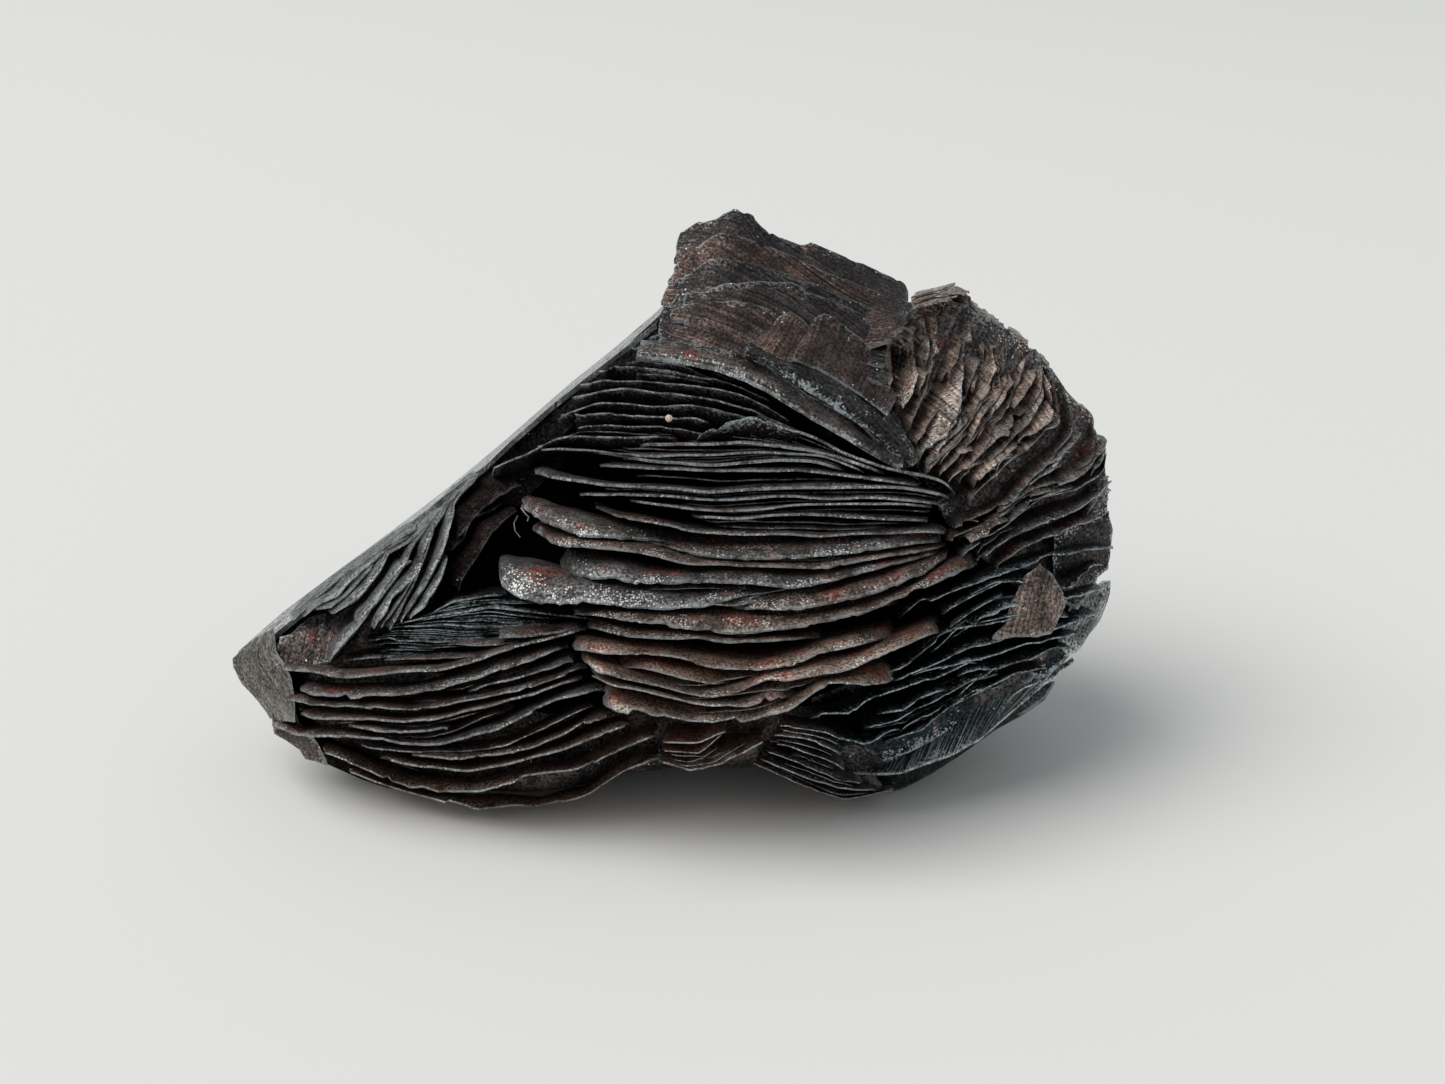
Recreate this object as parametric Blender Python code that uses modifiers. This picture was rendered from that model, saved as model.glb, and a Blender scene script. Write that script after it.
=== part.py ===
"""Specular hematite: a hand-sized cluster of thin plates, stacked in books that lean against each other.

The plates are laid out in the front view, because that is how the cluster is read. A place is
(across, up) in millimetres in the view plane, and its depth is counted towards the viewer. A plate of
a book is one outer edge, drawn from left to right, whose sheet runs back into the body. A broad plate
is a sheet between two edges. A domed core joins them all, and the foot is worn flat.
"""

import math

import bmesh
import bpy
import numpy as np

MM = 0.001

# The view that the plates are laid out in
VIEW_ELEVATION = math.radians(20.0)
VIEW_DISTANCE = 160.0
VIEW_AIM = (4.0, -2.6)

# Where the middle of the view plane lies in the part's own frame, above the ground
VIEW_MIDDLE = (-0.2, -1.8, 20.7)

# The body that the plates grow from: a dome to the front and one to the back of its outline, which
# leans towards the viewer at the foot
BODY_MIDDLE = (2.0, -2.0)
OUTLINE_LEAN = -0.2
FRONT_DEPTH = 15.0
FRONT_FULLNESS = 2.4
BACK_DEPTH = 17.0
BACK_FULLNESS = 3.4
CORE_SHARE = 0.88
CORE_DEPTH_SHARE = 0.76

# The cluster's outline in the view plane, clockwise from the left tip
OUTLINE = [
    (-35.3, -11.7), (-30.0, -7.3), (-20.0, 0.6), (-10.0, 8.9), (-2.0, 15.2), (-0.8, 19.0),
    (2.0, 22.9), (5.6, 24.3), (10.0, 21.3), (15.0, 20.0), (18.6, 18.2), (24.0, 17.5), (27.0, 15.0),
    (30.2, 12.0), (33.0, 9.2), (35.3, 3.8), (35.6, -3.0), (34.6, -8.0), (32.4, -12.4), (29.6, -15.2),
    (25.0, -18.5), (19.0, -22.1), (14.0, -23.4), (8.0, -22.0), (1.0, -21.8), (-5.0, -22.6),
    (-11.0, -24.1), (-17.0, -24.0), (-23.0, -22.0), (-29.6, -19.7), (-32.2, -17.0), (-34.2, -14.0),
]

# Each book: the outer edges of its plates in order, and the shift of a sheet in the view plane for
# each millimetre that it runs into the body, at the first plate and at the last. set_back is how far
# the edges stand inside the dome, reach how far the sheets run in, corner the depth of their round ends
UPPER_BOOK = {
    "edges": [
        [(-4.2, 13.2), (-3.0, 13.6), (1.0, 13.3), (5.0, 12.8), (8.0, 11.1), (12.0, 9.0), (15.0, 6.7), (18.3, 4.2)],
        [(-7.6, 10.1), (-4.0, 10.6), (1.0, 10.5), (4.0, 9.9), (7.8, 8.2)],
        [(-9.0, 7.6), (-6.0, 8.6), (0.0, 8.7), (4.0, 8.2), (6.0, 7.2)],
        [(-11.8, 4.6), (-9.0, 6.0), (-4.0, 6.8), (0.0, 6.9), (2.4, 6.0)],
    ],
    "shift": [(0.0, -0.8), (0.0, -0.3)],
    "set_back": 0.6, "reach": 10.0, "corner": 2.0,
}
CENTRE_BOOK = {
    "edges": [
        [(7.0, 7.4), (9.0, 6.8), (13.0, 5.0), (17.0, 3.6), (20.5, 2.6), (22.6, 1.3)],
        [(-11.0, 4.7), (-7.0, 4.6), (-1.0, 3.8), (5.0, 3.5), (11.0, 3.2), (16.0, 2.9)],
        [(-11.2, 3.0), (-8.0, 2.1), (0.0, 1.8), (10.0, 1.8), (16.0, 1.9), (20.5, 1.2), (22.2, 1.0)],
        [(-6.2, 0.3), (-4.0, -0.7), (1.0, -1.3), (7.0, -1.9), (15.0, -1.9), (22.0, -1.8)],
    ],
    "shift": [(0.0, -0.2), (0.0, 0.2)],
    "set_back": 0.2, "reach": 10.0, "corner": 2.0,
}
LOWER_BOOK = {
    "edges": [
        [(-12.2, 0.4), (-10.5, -1.0), (-7.0, -2.0), (-1.5, -2.6), (3.0, -3.6), (12.0, -3.6), (22.0, -2.5)],
        [(-9.0, -5.3), (-5.0, -6.1), (1.6, -6.0), (6.5, -5.8), (9.2, -6.5), (15.0, -5.0), (21.5, -3.4)],
        [(-13.8, -6.2), (-12.0, -7.5), (-8.0, -7.9), (2.0, -8.1), (5.5, -7.0), (10.0, -7.9), (18.0, -6.0), (22.5, -4.2)],
        [(-8.0, -8.2), (-4.0, -8.9), (2.0, -9.9), (7.0, -10.2), (14.0, -8.7), (20.0, -6.4), (24.6, -4.9)],
        [(-8.2, -11.0), (-3.0, -11.5), (3.0, -12.7), (7.0, -13.2), (13.0, -11.5), (19.0, -9.6), (25.0, -7.4)],
        [(-7.2, -12.4), (-5.5, -13.3), (0.0, -14.4), (3.5, -15.0), (9.0, -14.0), (15.0, -12.9), (22.0, -9.5)],
        [(-5.6, -15.5), (-4.3, -16.2), (2.0, -16.9), (8.0, -16.7), (13.0, -14.9), (18.5, -13.1), (22.0, -10.5)],
    ],
    "shift": [(0.0, 0.35), (0.0, 0.5)],
    "set_back": 0.0, "reach": 11.0, "corner": 5.0,
}
LEFT_BOOK = {
    "edges": [
        [(-31.5, -12.8), (-25.0, -13.2), (-20.0, -12.9), (-14.0, -11.6), (-7.0, -9.6)],
        [(-30.0, -14.9), (-22.0, -15.0), (-16.0, -13.7), (-8.5, -11.4)],
        [(-32.0, -15.7), (-24.0, -16.1), (-17.0, -15.7), (-11.0, -13.9), (-7.6, -12.6)],
        [(-31.8, -18.0), (-25.0, -18.4), (-19.0, -18.7), (-14.0, -17.6), (-9.0, -15.4), (-5.6, -14.1)],
        [(-26.0, -19.3), (-19.0, -19.9), (-13.0, -19.9), (-8.0, -18.3), (-5.0, -16.3)],
        [(-25.5, -20.4), (-19.0, -22.4), (-12.5, -21.8), (-9.0, -21.9), (-5.0, -19.8), (-1.0, -17.8)],
        [(-29.6, -19.4), (-23.0, -21.9), (-16.0, -23.8), (-10.8, -24.0), (-6.0, -22.8), (-1.0, -20.2)],
    ],
    "shift": [(0.0, 0.45), (0.0, 0.3)],
    "set_back": 2.0, "reach": 10.0, "corner": 2.0,
}
SMALL_FAN = {
    "edges": [
        [(-20.0, -8.6), (-17.0, -7.2), (-13.5, -6.9)],
        [(-24.5, -10.8), (-19.0, -9.6), (-12.5, -9.6)],
    ],
    "shift": [(0.0, 0.2), (0.0, 0.3)],
    "set_back": 4.5, "reach": 8.0, "corner": 1.0,
}
FLANK_BOOK = {
    "edges": [
        [(-30.0, -10.4), (-26.0, -7.6), (-23.0, -3.8), (-19.0, 0.2), (-15.5, 3.0)],
        [(-27.5, -12.0), (-24.5, -8.4), (-21.5, -4.7), (-20.0, -1.9), (-18.4, 0.6)],
        [(-21.0, -9.0), (-19.0, -6.6), (-18.0, -3.6), (-16.0, -1.0), (-12.5, 1.3)],
    ],
    "shift": [(-0.1, 0.12), (0.1, -0.1)],
    "set_back": 4.0, "reach": 12.0, "corner": 0.5,
}
RIGHT_BOOK = {
    "edges": [
        [(17.0, 8.2), (18.2, 10.5), (18.6, 13.0), (18.6, 15.0)],
        [(19.1, 6.5), (20.6, 9.7), (21.4, 11.5), (21.6, 14.5)],
        [(20.1, 3.4), (22.0, 6.0), (24.0, 8.6), (24.6, 11.0), (24.2, 16.6)],
        [(21.2, 2.6), (24.3, 5.6), (27.0, 10.1), (27.3, 11.5), (26.4, 15.4)],
        [(23.2, 0.3), (25.0, 2.6), (28.0, 5.8), (29.6, 8.0), (29.4, 12.8)],
        [(24.5, -1.3), (27.5, 1.2), (30.8, 4.8), (32.2, 6.6), (31.4, 10.4)],
        [(25.0, -3.0), (28.0, -0.5), (31.0, 2.3), (33.8, 4.8), (33.6, 8.2)],
        [(26.5, -3.6), (29.0, -1.7), (32.0, 0.0), (34.6, 2.0), (35.2, 3.8)],
    ],
    "shift": [(-0.25, 0.1), (-0.5, 0.45)],
    "set_back": 0.8, "reach": 9.0, "corner": 1.0,
}
SWEEP_BOOK = {
    "edges": [
        [(22.0, -10.3), (25.0, -8.6), (28.0, -6.0), (31.0, -4.0), (35.6, -2.6)],
        [(16.0, -15.6), (19.0, -14.4), (22.4, -13.2), (26.0, -11.9), (30.4, -10.0), (34.6, -8.0)],
        [(11.0, -17.0), (15.6, -18.2), (20.0, -16.2), (23.6, -14.0), (28.5, -12.4), (32.8, -10.9)],
        [(13.0, -19.0), (17.0, -19.6), (22.0, -16.8), (26.5, -14.2), (32.2, -12.4)],
        [(13.5, -21.0), (18.0, -21.2), (22.0, -19.6), (26.2, -17.0), (30.2, -13.9)],
        [(14.0, -22.9), (17.5, -22.8), (21.0, -21.0), (25.0, -18.5), (29.4, -15.4)],
    ],
    "shift": [(-0.3, 0.45), (-0.15, 0.3)],
    "set_back": 0.4, "reach": 10.0, "corner": 1.5,
}
FOOT_BOOK = {
    "edges": [
        [(-0.9, -18.9), (2.0, -19.3), (6.0, -18.2)],
        [(-0.9, -20.1), (1.0, -21.0), (4.0, -20.3), (7.5, -18.7)],
        [(7.5, -18.8), (11.5, -20.0), (15.0, -21.0)],
        [(5.5, -20.4), (10.0, -22.1), (13.5, -23.3), (16.0, -23.1)],
    ],
    "shift": [(0.0, 0.35), (0.0, 0.3)],
    "set_back": 1.0, "reach": 10.0, "corner": 1.5,
}
FRONT_BOOKS = {
    "upper": UPPER_BOOK, "centre": CENTRE_BOOK, "lower": LOWER_BOOK, "left": LEFT_BOOK,
    "fan": SMALL_FAN, "flank": FLANK_BOOK, "right": RIGHT_BOOK, "sweep": SWEEP_BOOK, "foot": FOOT_BOOK,
}

# The books on the back, where the plates between the first and the last edge follow from these two
BACK_BOOKS = {
    "back_flank": {
        "edges": [[(-30.5, -10.0), (-18.0, 0.6), (-4.0, 11.5)], [(-22.0, -15.5), (-6.0, -2.5), (10.0, 6.0)]],
        "plates": 6, "shift": [(0.2, -0.1), (0.1, 0.0)], "set_back": 0.0, "reach": 9.0, "corner": 2.0,
    },
    "back_foot": {
        "edges": [[(-22.0, -13.5), (-6.0, -5.5), (12.0, -4.0)], [(-24.0, -19.5), (-6.0, -19.0), (14.0, -18.0)]],
        "plates": 5, "shift": [(0.0, 0.3), (0.0, 0.1)], "set_back": 0.4, "reach": 8.0, "corner": 2.0,
    },
    "back_right": {
        "edges": [[(13.0, 15.0), (16.0, 0.0), (16.0, -19.0)], [(31.0, 9.0), (33.5, -2.0), (29.0, -13.0)]],
        "plates": 6, "shift": [(-0.1, 0.0), (-0.4, 0.0)], "set_back": 0.0, "reach": 8.0, "corner": 2.0,
    },
    "back_crown": {
        "edges": [[(-2.0, 14.0), (5.0, 17.0), (14.0, 17.0)], [(1.0, 8.5), (8.0, 10.0), (15.0, 9.5)]],
        "plates": 3, "shift": [(0.0, -0.2), (0.0, 0.1)], "set_back": 0.0, "reach": 8.0, "corner": 2.0,
    },
}

# Broad plates: the near edge with its depths from start to end, the far edge with its depths, and the
# thickness
BROAD_PLATES = {
    "flank_face": (
        [(-33.2, -12.0), (-30.5, -9.2), (-24.4, -3.7), (-17.1, 2.2), (-12.5, 6.0), (-7.0, 10.0), (-2.6, 13.3)], (2.0, 3.0, 3.0),
        [(-35.0, -11.9), (-30.0, -7.4), (-24.0, -2.8), (-18.2, 1.7), (-12.0, 7.2), (-7.0, 11.2), (-1.6, 15.6)],
        (-1.0, -8.0, -11.0, -12.0, -11.0, -8.0),
        1.6,
    ),
    "flank_tip": (
        [(-31.6, -9.8), (-31.3, -12.4), (-30.6, -14.5), (-31.2, -16.0)], (4.4, 4.4),
        [(-34.8, -11.6), (-34.6, -13.3), (-33.2, -14.8), (-32.2, -16.2)], (-1.0, -1.0),
        1.4,
    ),
    "crown_back": (
        [(-2.4, 13.4), (6.0, 13.0), (13.0, 13.0), (18.6, 14.0)], (8.5, 8.5),
        [(-0.9, 19.6), (2.2, 22.9), (5.6, 24.0), (7.4, 22.5), (11.0, 21.0), (15.0, 19.8), (18.6, 18.0)], (2.0, 2.0),
        1.4,
    ),
    "crown_middle": (
        [(-2.2, 13.0), (6.0, 12.6), (12.0, 10.6), (17.4, 9.5)], (11.0, 11.0),
        [(-1.2, 16.4), (1.4, 19.2), (5.0, 20.6), (9.0, 20.2), (13.0, 18.6), (17.2, 16.0)], (5.0, 5.0),
        1.2,
    ),
    "crown_front": (
        [(3.0, 12.4), (8.0, 11.4), (14.0, 7.6), (18.8, 4.6)], (12.8, 12.8),
        [(4.0, 15.2), (9.0, 15.8), (12.8, 15.6), (16.0, 13.0), (17.2, 9.8), (19.6, 6.0)], (9.6, 9.6),
        1.2,
    ),
    "crest_upper": (
        [(18.2, 15.0), (22.4, 15.2)], (0.0, 0.0),
        [(18.8, 17.2), (21.0, 17.7), (23.6, 18.1)], (4.6, 4.6),
        0.9,
    ),
    "crest_lower": (
        [(18.2, 14.2), (23.4, 14.6)], (1.0, 1.0),
        [(18.8, 15.9), (21.5, 16.6), (24.2, 17.3)], (6.2, 6.2),
        0.9,
    ),
}

PLATE_THICKNESS = 1.0
EDGE_STEPS = 7
CORE_SUBDIVISIONS = 3
GROUND_DEPTH = 30.0

COLOUR = (0.045, 0.037, 0.035, 1.0)
ROUGHNESS = 0.45
METALLIC = 0.6


def body_radius(angle):
    """How far the outline stands from the body's middle, in a direction of the view plane."""
    spokes = np.array(OUTLINE) - np.array(BODY_MIDDLE)
    angles = np.arctan2(spokes[:, 1], spokes[:, 0])
    order = np.argsort(angles)
    return np.interp(angle, angles[order], np.hypot(*spokes[order].T), period=2 * math.pi)


def dome(across, up, facing):
    """How far towards the viewer the body's skin stands over a place, on the front (1) or the back (-1)."""
    x = across - BODY_MIDDLE[0]
    y = up - BODY_MIDDLE[1]
    share = np.minimum(np.hypot(x, y) / body_radius(np.arctan2(y, x)), 1.0)
    depth, fullness = (FRONT_DEPTH, FRONT_FULLNESS) if facing > 0 else (-BACK_DEPTH, BACK_FULLNESS)
    return OUTLINE_LEAN * up + depth * np.sqrt(1.0 - share**fullness)


def in_the_round(places):
    """The part's own coordinates, in metres, of places given as (across, up, towards)."""
    across, up, towards = np.moveaxis(np.asarray(places, float), -1, 0)
    nearness = towards / VIEW_DISTANCE
    x = across + (VIEW_AIM[0] - across) * nearness
    rise = up + (VIEW_AIM[1] - up) * nearness
    sine, cosine = math.sin(VIEW_ELEVATION), math.cos(VIEW_ELEVATION)
    return (np.stack([x, rise * sine - towards * cosine, rise * cosine + towards * sine], -1) + VIEW_MIDDLE) * MM


def spaced(points):
    """Places along the line through the points, closer together towards its ends, and the line's length."""
    points = np.array(points)
    lengths = np.concatenate([[0.0], np.cumsum(np.hypot(*np.diff(points, axis=0).T))])
    share = (1.0 - np.cos(np.linspace(0.0, math.pi, EDGE_STEPS + 1))) / 2.0
    places = share * lengths[-1]
    return np.stack([np.interp(places, lengths, points[:, k]) for k in (0, 1)], -1), places, lengths[-1]


def corner_drop(places, length, corner):
    """How far a plate's edge falls back at its two round ends."""
    to_end = np.minimum(np.minimum(places, length - places), corner)
    return corner - np.sqrt(corner**2 - (corner - to_end) ** 2)


def new_collection(name):
    """A collection in the scene."""
    collection = bpy.data.collections.new(name)
    bpy.context.scene.collection.children.link(collection)
    return collection


def add_object(bm, name, collection):
    """An object made of a finished bmesh, in a collection."""
    mesh = bpy.data.meshes.new(name)
    bm.to_mesh(mesh)
    bm.free()
    obj = bpy.data.objects.new(name, mesh)
    collection.objects.link(obj)
    return obj


def hide(obj):
    """Marks an object as a helper, which is no part of the result."""
    obj.hide_render = True
    obj.display_type = "WIRE"


def add_sheet(name, near, far, thickness, collection):
    """One plate: a grid drawn out between two rows of places, then thickened on both sides."""
    bm = bmesh.new()
    bmesh.ops.create_grid(bm, x_segments=EDGE_STEPS, y_segments=1, size=0.5)
    rows = in_the_round([near, far])
    for vertex in bm.verts:
        step = round((vertex.co.x + 0.5) * EDGE_STEPS)
        vertex.co = rows[round(vertex.co.y + 0.5)][step]
    sheet = add_object(bm, name, collection)
    solidify = sheet.modifiers.new("thickness", "SOLIDIFY")
    solidify.thickness = thickness * MM
    solidify.offset = 0.0
    hide(sheet)


def graded_edges(first, last, plates):
    """Evenly graded edges from a first to a last one."""
    first_row, last_row = spaced(first)[0], spaced(last)[0]
    return [first_row + (last_row - first_row) * share for share in np.linspace(0.0, 1.0, plates)]


def add_book(name, book, facing, collection):
    """Every plate of a book, its shift turning from the first plate's to the last one's."""
    first, last = np.array(book["shift"])
    edges = graded_edges(*book["edges"], book["plates"]) if "plates" in book else book["edges"]
    for number, edge in enumerate(edges):
        row, places, length = spaced(edge)
        depth = book["set_back"] + corner_drop(places, length, book["corner"])
        near = np.column_stack([row, dome(row[:, 0], row[:, 1], facing) - facing * depth])
        shift = first + (last - first) * number / (len(edges) - 1)
        far = near + np.array([*shift, -facing]) * book["reach"]
        add_sheet(f"{name}_{number + 1}", near, far, PLATE_THICKNESS, collection)


def add_broad_plate(name, plate, collection):
    """One broad plate, between its near edge and its far edge."""
    near, near_depths, far, far_depths, thickness = plate
    rows = []
    for edge, depths in ((near, near_depths), (far, far_depths)):
        row, places, length = spaced(edge)
        towards = np.interp(places, np.linspace(0.0, length, len(depths)), depths)
        rows.append(np.column_stack([row, towards]))
    add_sheet(name, *rows, thickness, collection)


def add_core(collection):
    """The body inside the plates: a sphere drawn out to the outline and the domes, a little smaller."""
    bm = bmesh.new()
    bmesh.ops.create_icosphere(bm, subdivisions=CORE_SUBDIVISIONS, radius=1.0)
    for vertex in bm.verts:
        angle = math.atan2(vertex.co.z, vertex.co.x)
        out = math.hypot(vertex.co.x, vertex.co.z) * body_radius(angle) * CORE_SHARE
        across = BODY_MIDDLE[0] + out * math.cos(angle)
        up = BODY_MIDDLE[1] + out * math.sin(angle)
        depth = (FRONT_DEPTH if vertex.co.y < 0 else BACK_DEPTH) * CORE_DEPTH_SHARE
        vertex.co = in_the_round([across, up, OUTLINE_LEAN * up - vertex.co.y * depth])
    bmesh.ops.recalc_face_normals(bm, faces=bm.faces)
    return add_object(bm, "specular_hematite", collection)


def add_ground(collection):
    """The block that wears the foot flat, with its top on the ground."""
    bpy.ops.mesh.primitive_cube_add(size=1.0, location=(0.0, 0.0, -GROUND_DEPTH * MM / 2))
    ground = bpy.context.object
    ground.name = "ground"
    ground.scale = (0.2, 0.2, GROUND_DEPTH * MM)
    for owner in list(ground.users_collection):
        owner.objects.unlink(ground)
    collection.objects.link(ground)
    hide(ground)


def hematite_material():
    """Near-black, half-metallic."""
    material = bpy.data.materials.new("specular_hematite")
    material.use_nodes = True
    shader = material.node_tree.nodes["Principled BSDF"]
    shader.inputs["Base Color"].default_value = COLOUR
    shader.inputs["Roughness"].default_value = ROUGHNESS
    shader.inputs["Metallic"].default_value = METALLIC
    return material


def join_or_cut(obj, operation, collection):
    """Joins or cuts an object with everything in a collection, and keeps the result as its mesh."""
    boolean = obj.modifiers.new(operation.lower(), "BOOLEAN")
    boolean.operation = operation
    boolean.operand_type = "COLLECTION"
    boolean.collection = collection
    evaluated = obj.evaluated_get(bpy.context.evaluated_depsgraph_get())
    joined = bpy.data.meshes.new_from_object(evaluated)
    obj.modifiers.clear()
    obj.data = joined


def shells(bm):
    """The groups of faces that hang together."""
    left = set(bm.faces)
    while left:
        group, ahead = set(), [left.pop()]
        while ahead:
            face = ahead.pop()
            group.add(face)
            sound = [edge for edge in face.edges if len(edge.link_faces) == 2]
            touching = {other for edge in sound for other in edge.link_faces} & left
            left -= touching
            ahead.extend(touching)
        yield group


def keep_largest_shell(mesh):
    """Clears away the loose chips and the sealed gaps that crossing plates leave."""
    bm = bmesh.new()
    bm.from_mesh(mesh)
    bmesh.ops.triangulate(bm, faces=bm.faces)
    by_size = sorted(shells(bm), key=len)
    bmesh.ops.delete(bm, geom=[face for shell in by_size[:-1] for face in shell], context="FACES")
    bm.to_mesh(mesh)
    bm.free()


def main():
    for obj in list(bpy.data.objects):
        bpy.data.objects.remove(obj)
    cluster = new_collection("specular_hematite_cluster")
    plates = new_collection("plates")
    cutters = new_collection("cutters")
    for name, book in FRONT_BOOKS.items():
        add_book(name, book, 1, plates)
    for name, book in BACK_BOOKS.items():
        add_book(name, book, -1, plates)
    for name, plate in BROAD_PLATES.items():
        add_broad_plate(name, plate, plates)
    add_ground(cutters)
    body = add_core(cluster)
    body.data.materials.append(hematite_material())
    join_or_cut(body, "UNION", plates)
    join_or_cut(body, "DIFFERENCE", cutters)
    keep_largest_shell(body.data)


main()
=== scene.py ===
"""The looks of a specular hematite cluster: thin dark plates stacked in books that lean against each other.

The plates are laid out in the front view. A place is (across, up) in millimetres in the view plane, and
its depth is counted towards the viewer. Every mesh ends up in metres, in the part's own frame.
"""

import logging
import math
from dataclasses import dataclass, field
from enum import Enum
from typing import Optional, Sequence

import bmesh
import bpy
import numpy as np
from mathutils import Matrix, Vector


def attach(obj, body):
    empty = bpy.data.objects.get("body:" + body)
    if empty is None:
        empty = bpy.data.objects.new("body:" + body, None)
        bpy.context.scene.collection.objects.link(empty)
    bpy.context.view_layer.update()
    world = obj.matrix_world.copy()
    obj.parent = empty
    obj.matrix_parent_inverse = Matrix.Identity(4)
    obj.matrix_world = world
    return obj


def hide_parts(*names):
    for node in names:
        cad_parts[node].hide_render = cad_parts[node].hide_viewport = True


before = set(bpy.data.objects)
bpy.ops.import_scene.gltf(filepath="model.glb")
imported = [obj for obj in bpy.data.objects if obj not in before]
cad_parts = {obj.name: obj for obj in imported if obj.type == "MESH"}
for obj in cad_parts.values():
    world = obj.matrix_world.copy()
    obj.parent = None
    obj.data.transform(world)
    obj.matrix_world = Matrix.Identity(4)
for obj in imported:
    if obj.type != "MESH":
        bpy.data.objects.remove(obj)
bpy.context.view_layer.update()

LOG = logging.getLogger("hematite")
NODE = "specular_hematite"
BODY_NAME = "root"
MM = 0.001
SHARP_ANGLE = math.radians(35.0)

Place = tuple[float, float]
Line = list[Place]
Colour = tuple[float, float, float]
Socket = bpy.types.NodeSocket


class Side(Enum):
    """The side of the cluster that a book of plates faces."""

    FRONT = 1
    BACK = -1


class Slot(Enum):
    """The record's material slots."""

    HEMATITE = "hematite"
    RIM = "hematite_rim"
    DUST = "dust"


@dataclass(frozen=True)
class View:
    """The view that the plates are laid out in."""

    elevation: float = math.radians(20.0)
    distance: float = 160.0
    aim: Place = (4.0, -2.6)
    middle: tuple[float, float, float] = (-0.2, -1.8, 20.7)
    width: float = 115.6
    sensor: float = 36.0

    def in_the_round(self, places: np.ndarray) -> np.ndarray:
        """Turns places of the view into the part's own frame.

        Args:
            places: rows of (across, up, towards), in millimetres.

        Returns:
            Rows of x, y and z in metres.
        """
        across, up, towards = np.moveaxis(np.asarray(places, float), -1, 0)
        nearness = towards / self.distance
        x = across + (self.aim[0] - across) * nearness
        rise = up + (self.aim[1] - up) * nearness
        sine, cosine = math.sin(self.elevation), math.cos(self.elevation)
        y = rise * sine - towards * cosine
        z = rise * cosine + towards * sine
        return (np.stack([x, y, z], -1) + self.middle) * MM

    def add_camera(self) -> bpy.types.Object:
        """Adds the camera that sees the view plane upright and at its stated width.

        Returns:
            The camera, which is made the scene's own.
        """
        data = bpy.data.cameras.new("camera")
        data.sensor_width = self.sensor
        data.lens = self.sensor * self.distance / self.width
        data.clip_start = 0.005
        camera = bpy.data.objects.new("camera", data)
        bpy.context.scene.collection.objects.link(camera)
        camera.location = self.in_the_round(np.array([*self.aim, self.distance]))
        camera.rotation_euler = (math.pi / 2 - self.elevation, 0.0, 0.0)
        bpy.context.scene.camera = camera
        return camera


@dataclass(frozen=True)
class Body:
    """The rounded body that the plates grow from, with a dome to each side of its outline."""

    middle: Place = (2.0, -2.0)
    lean: float = -0.2
    front_depth: float = 15.0
    front_fullness: float = 2.4
    back_depth: float = 17.0
    back_fullness: float = 3.4
    flank: tuple[Place, Place] = ((-35.3, -11.7), (-2.0, 15.2))
    outline: tuple[Place, ...] = (
        (-35.3, -11.7), (-30.0, -7.3), (-20.0, 0.6), (-10.0, 8.9), (-2.0, 15.2), (-0.8, 19.0),
        (2.0, 22.9), (5.6, 24.3), (10.0, 21.3), (15.0, 20.0), (18.6, 18.2), (24.0, 17.5), (27.0, 15.0),
        (30.2, 12.0), (33.0, 9.2), (35.3, 3.8), (35.6, -3.0), (34.6, -8.0), (32.4, -12.4), (29.6, -15.2),
        (25.0, -18.5), (19.0, -22.1), (14.0, -23.4), (8.0, -22.0), (1.0, -21.8), (-5.0, -22.6),
        (-11.0, -24.1), (-17.0, -24.0), (-23.0, -22.0), (-29.6, -19.7), (-32.2, -17.0), (-34.2, -14.0),
    )

    def radius(self, angle: np.ndarray) -> np.ndarray:
        """Says how far the outline stands from the middle.

        Args:
            angle: directions in the view plane.

        Returns:
            The distances, in millimetres.
        """
        spokes = np.array(self.outline) - np.array(self.middle)
        angles = np.arctan2(spokes[:, 1], spokes[:, 0])
        order = np.argsort(angles)
        return np.interp(angle, angles[order], np.hypot(*spokes[order].T), period=2 * math.pi)

    def skin(self, across: np.ndarray, up: np.ndarray, side: Side) -> np.ndarray:
        """Says how far towards the viewer the body's skin stands.

        Args:
            across: places across the view plane.
            up: places up the view plane.
            side: the front or the back.

        Returns:
            The depths, in millimetres.
        """
        x, y = across - self.middle[0], up - self.middle[1]
        share = np.minimum(np.hypot(x, y) / self.radius(np.arctan2(y, x)), 1.0)
        if side is Side.FRONT:
            return self.lean * up + self.front_depth * np.sqrt(1.0 - share**self.front_fullness)
        return self.lean * up - self.back_depth * np.sqrt(1.0 - share**self.back_fullness)

    def behind_flank(self, across: float, up: float, gap: float) -> Place:
        """Moves a place of the view back behind the flat flank.

        Args:
            across: the place across the view plane.
            up: the place up the view plane.
            gap: how far behind the flank it has to stay, in millimetres.

        Returns:
            The place, moved only where it stood too close.
        """
        first, last = np.array(self.flank)
        along = (last - first) / np.linalg.norm(last - first)
        outward = np.array([-along[1], along[0]])
        place = np.array([across, up])
        excess = max(0.0, float((place - first) @ outward) + gap)
        return tuple(place - outward * excess)


VIEW = View()
BODY = Body()


def spread(points: np.ndarray, count: int) -> tuple[np.ndarray, np.ndarray]:
    """Spaces points evenly along a line.

    Args:
        points: the line's own points.
        count: how many points to return.

    Returns:
        The points, and how far along the line each one lies.
    """
    points = np.asarray(points, float)
    steps = np.hypot(*np.diff(points[:, :2], axis=0).T)
    lengths = np.concatenate([[0.0], np.cumsum(steps)])
    places = np.linspace(0.0, lengths[-1], count)
    columns = [np.interp(places, lengths, points[:, k]) for k in range(points.shape[1])]
    return np.stack(columns, -1), places


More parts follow.
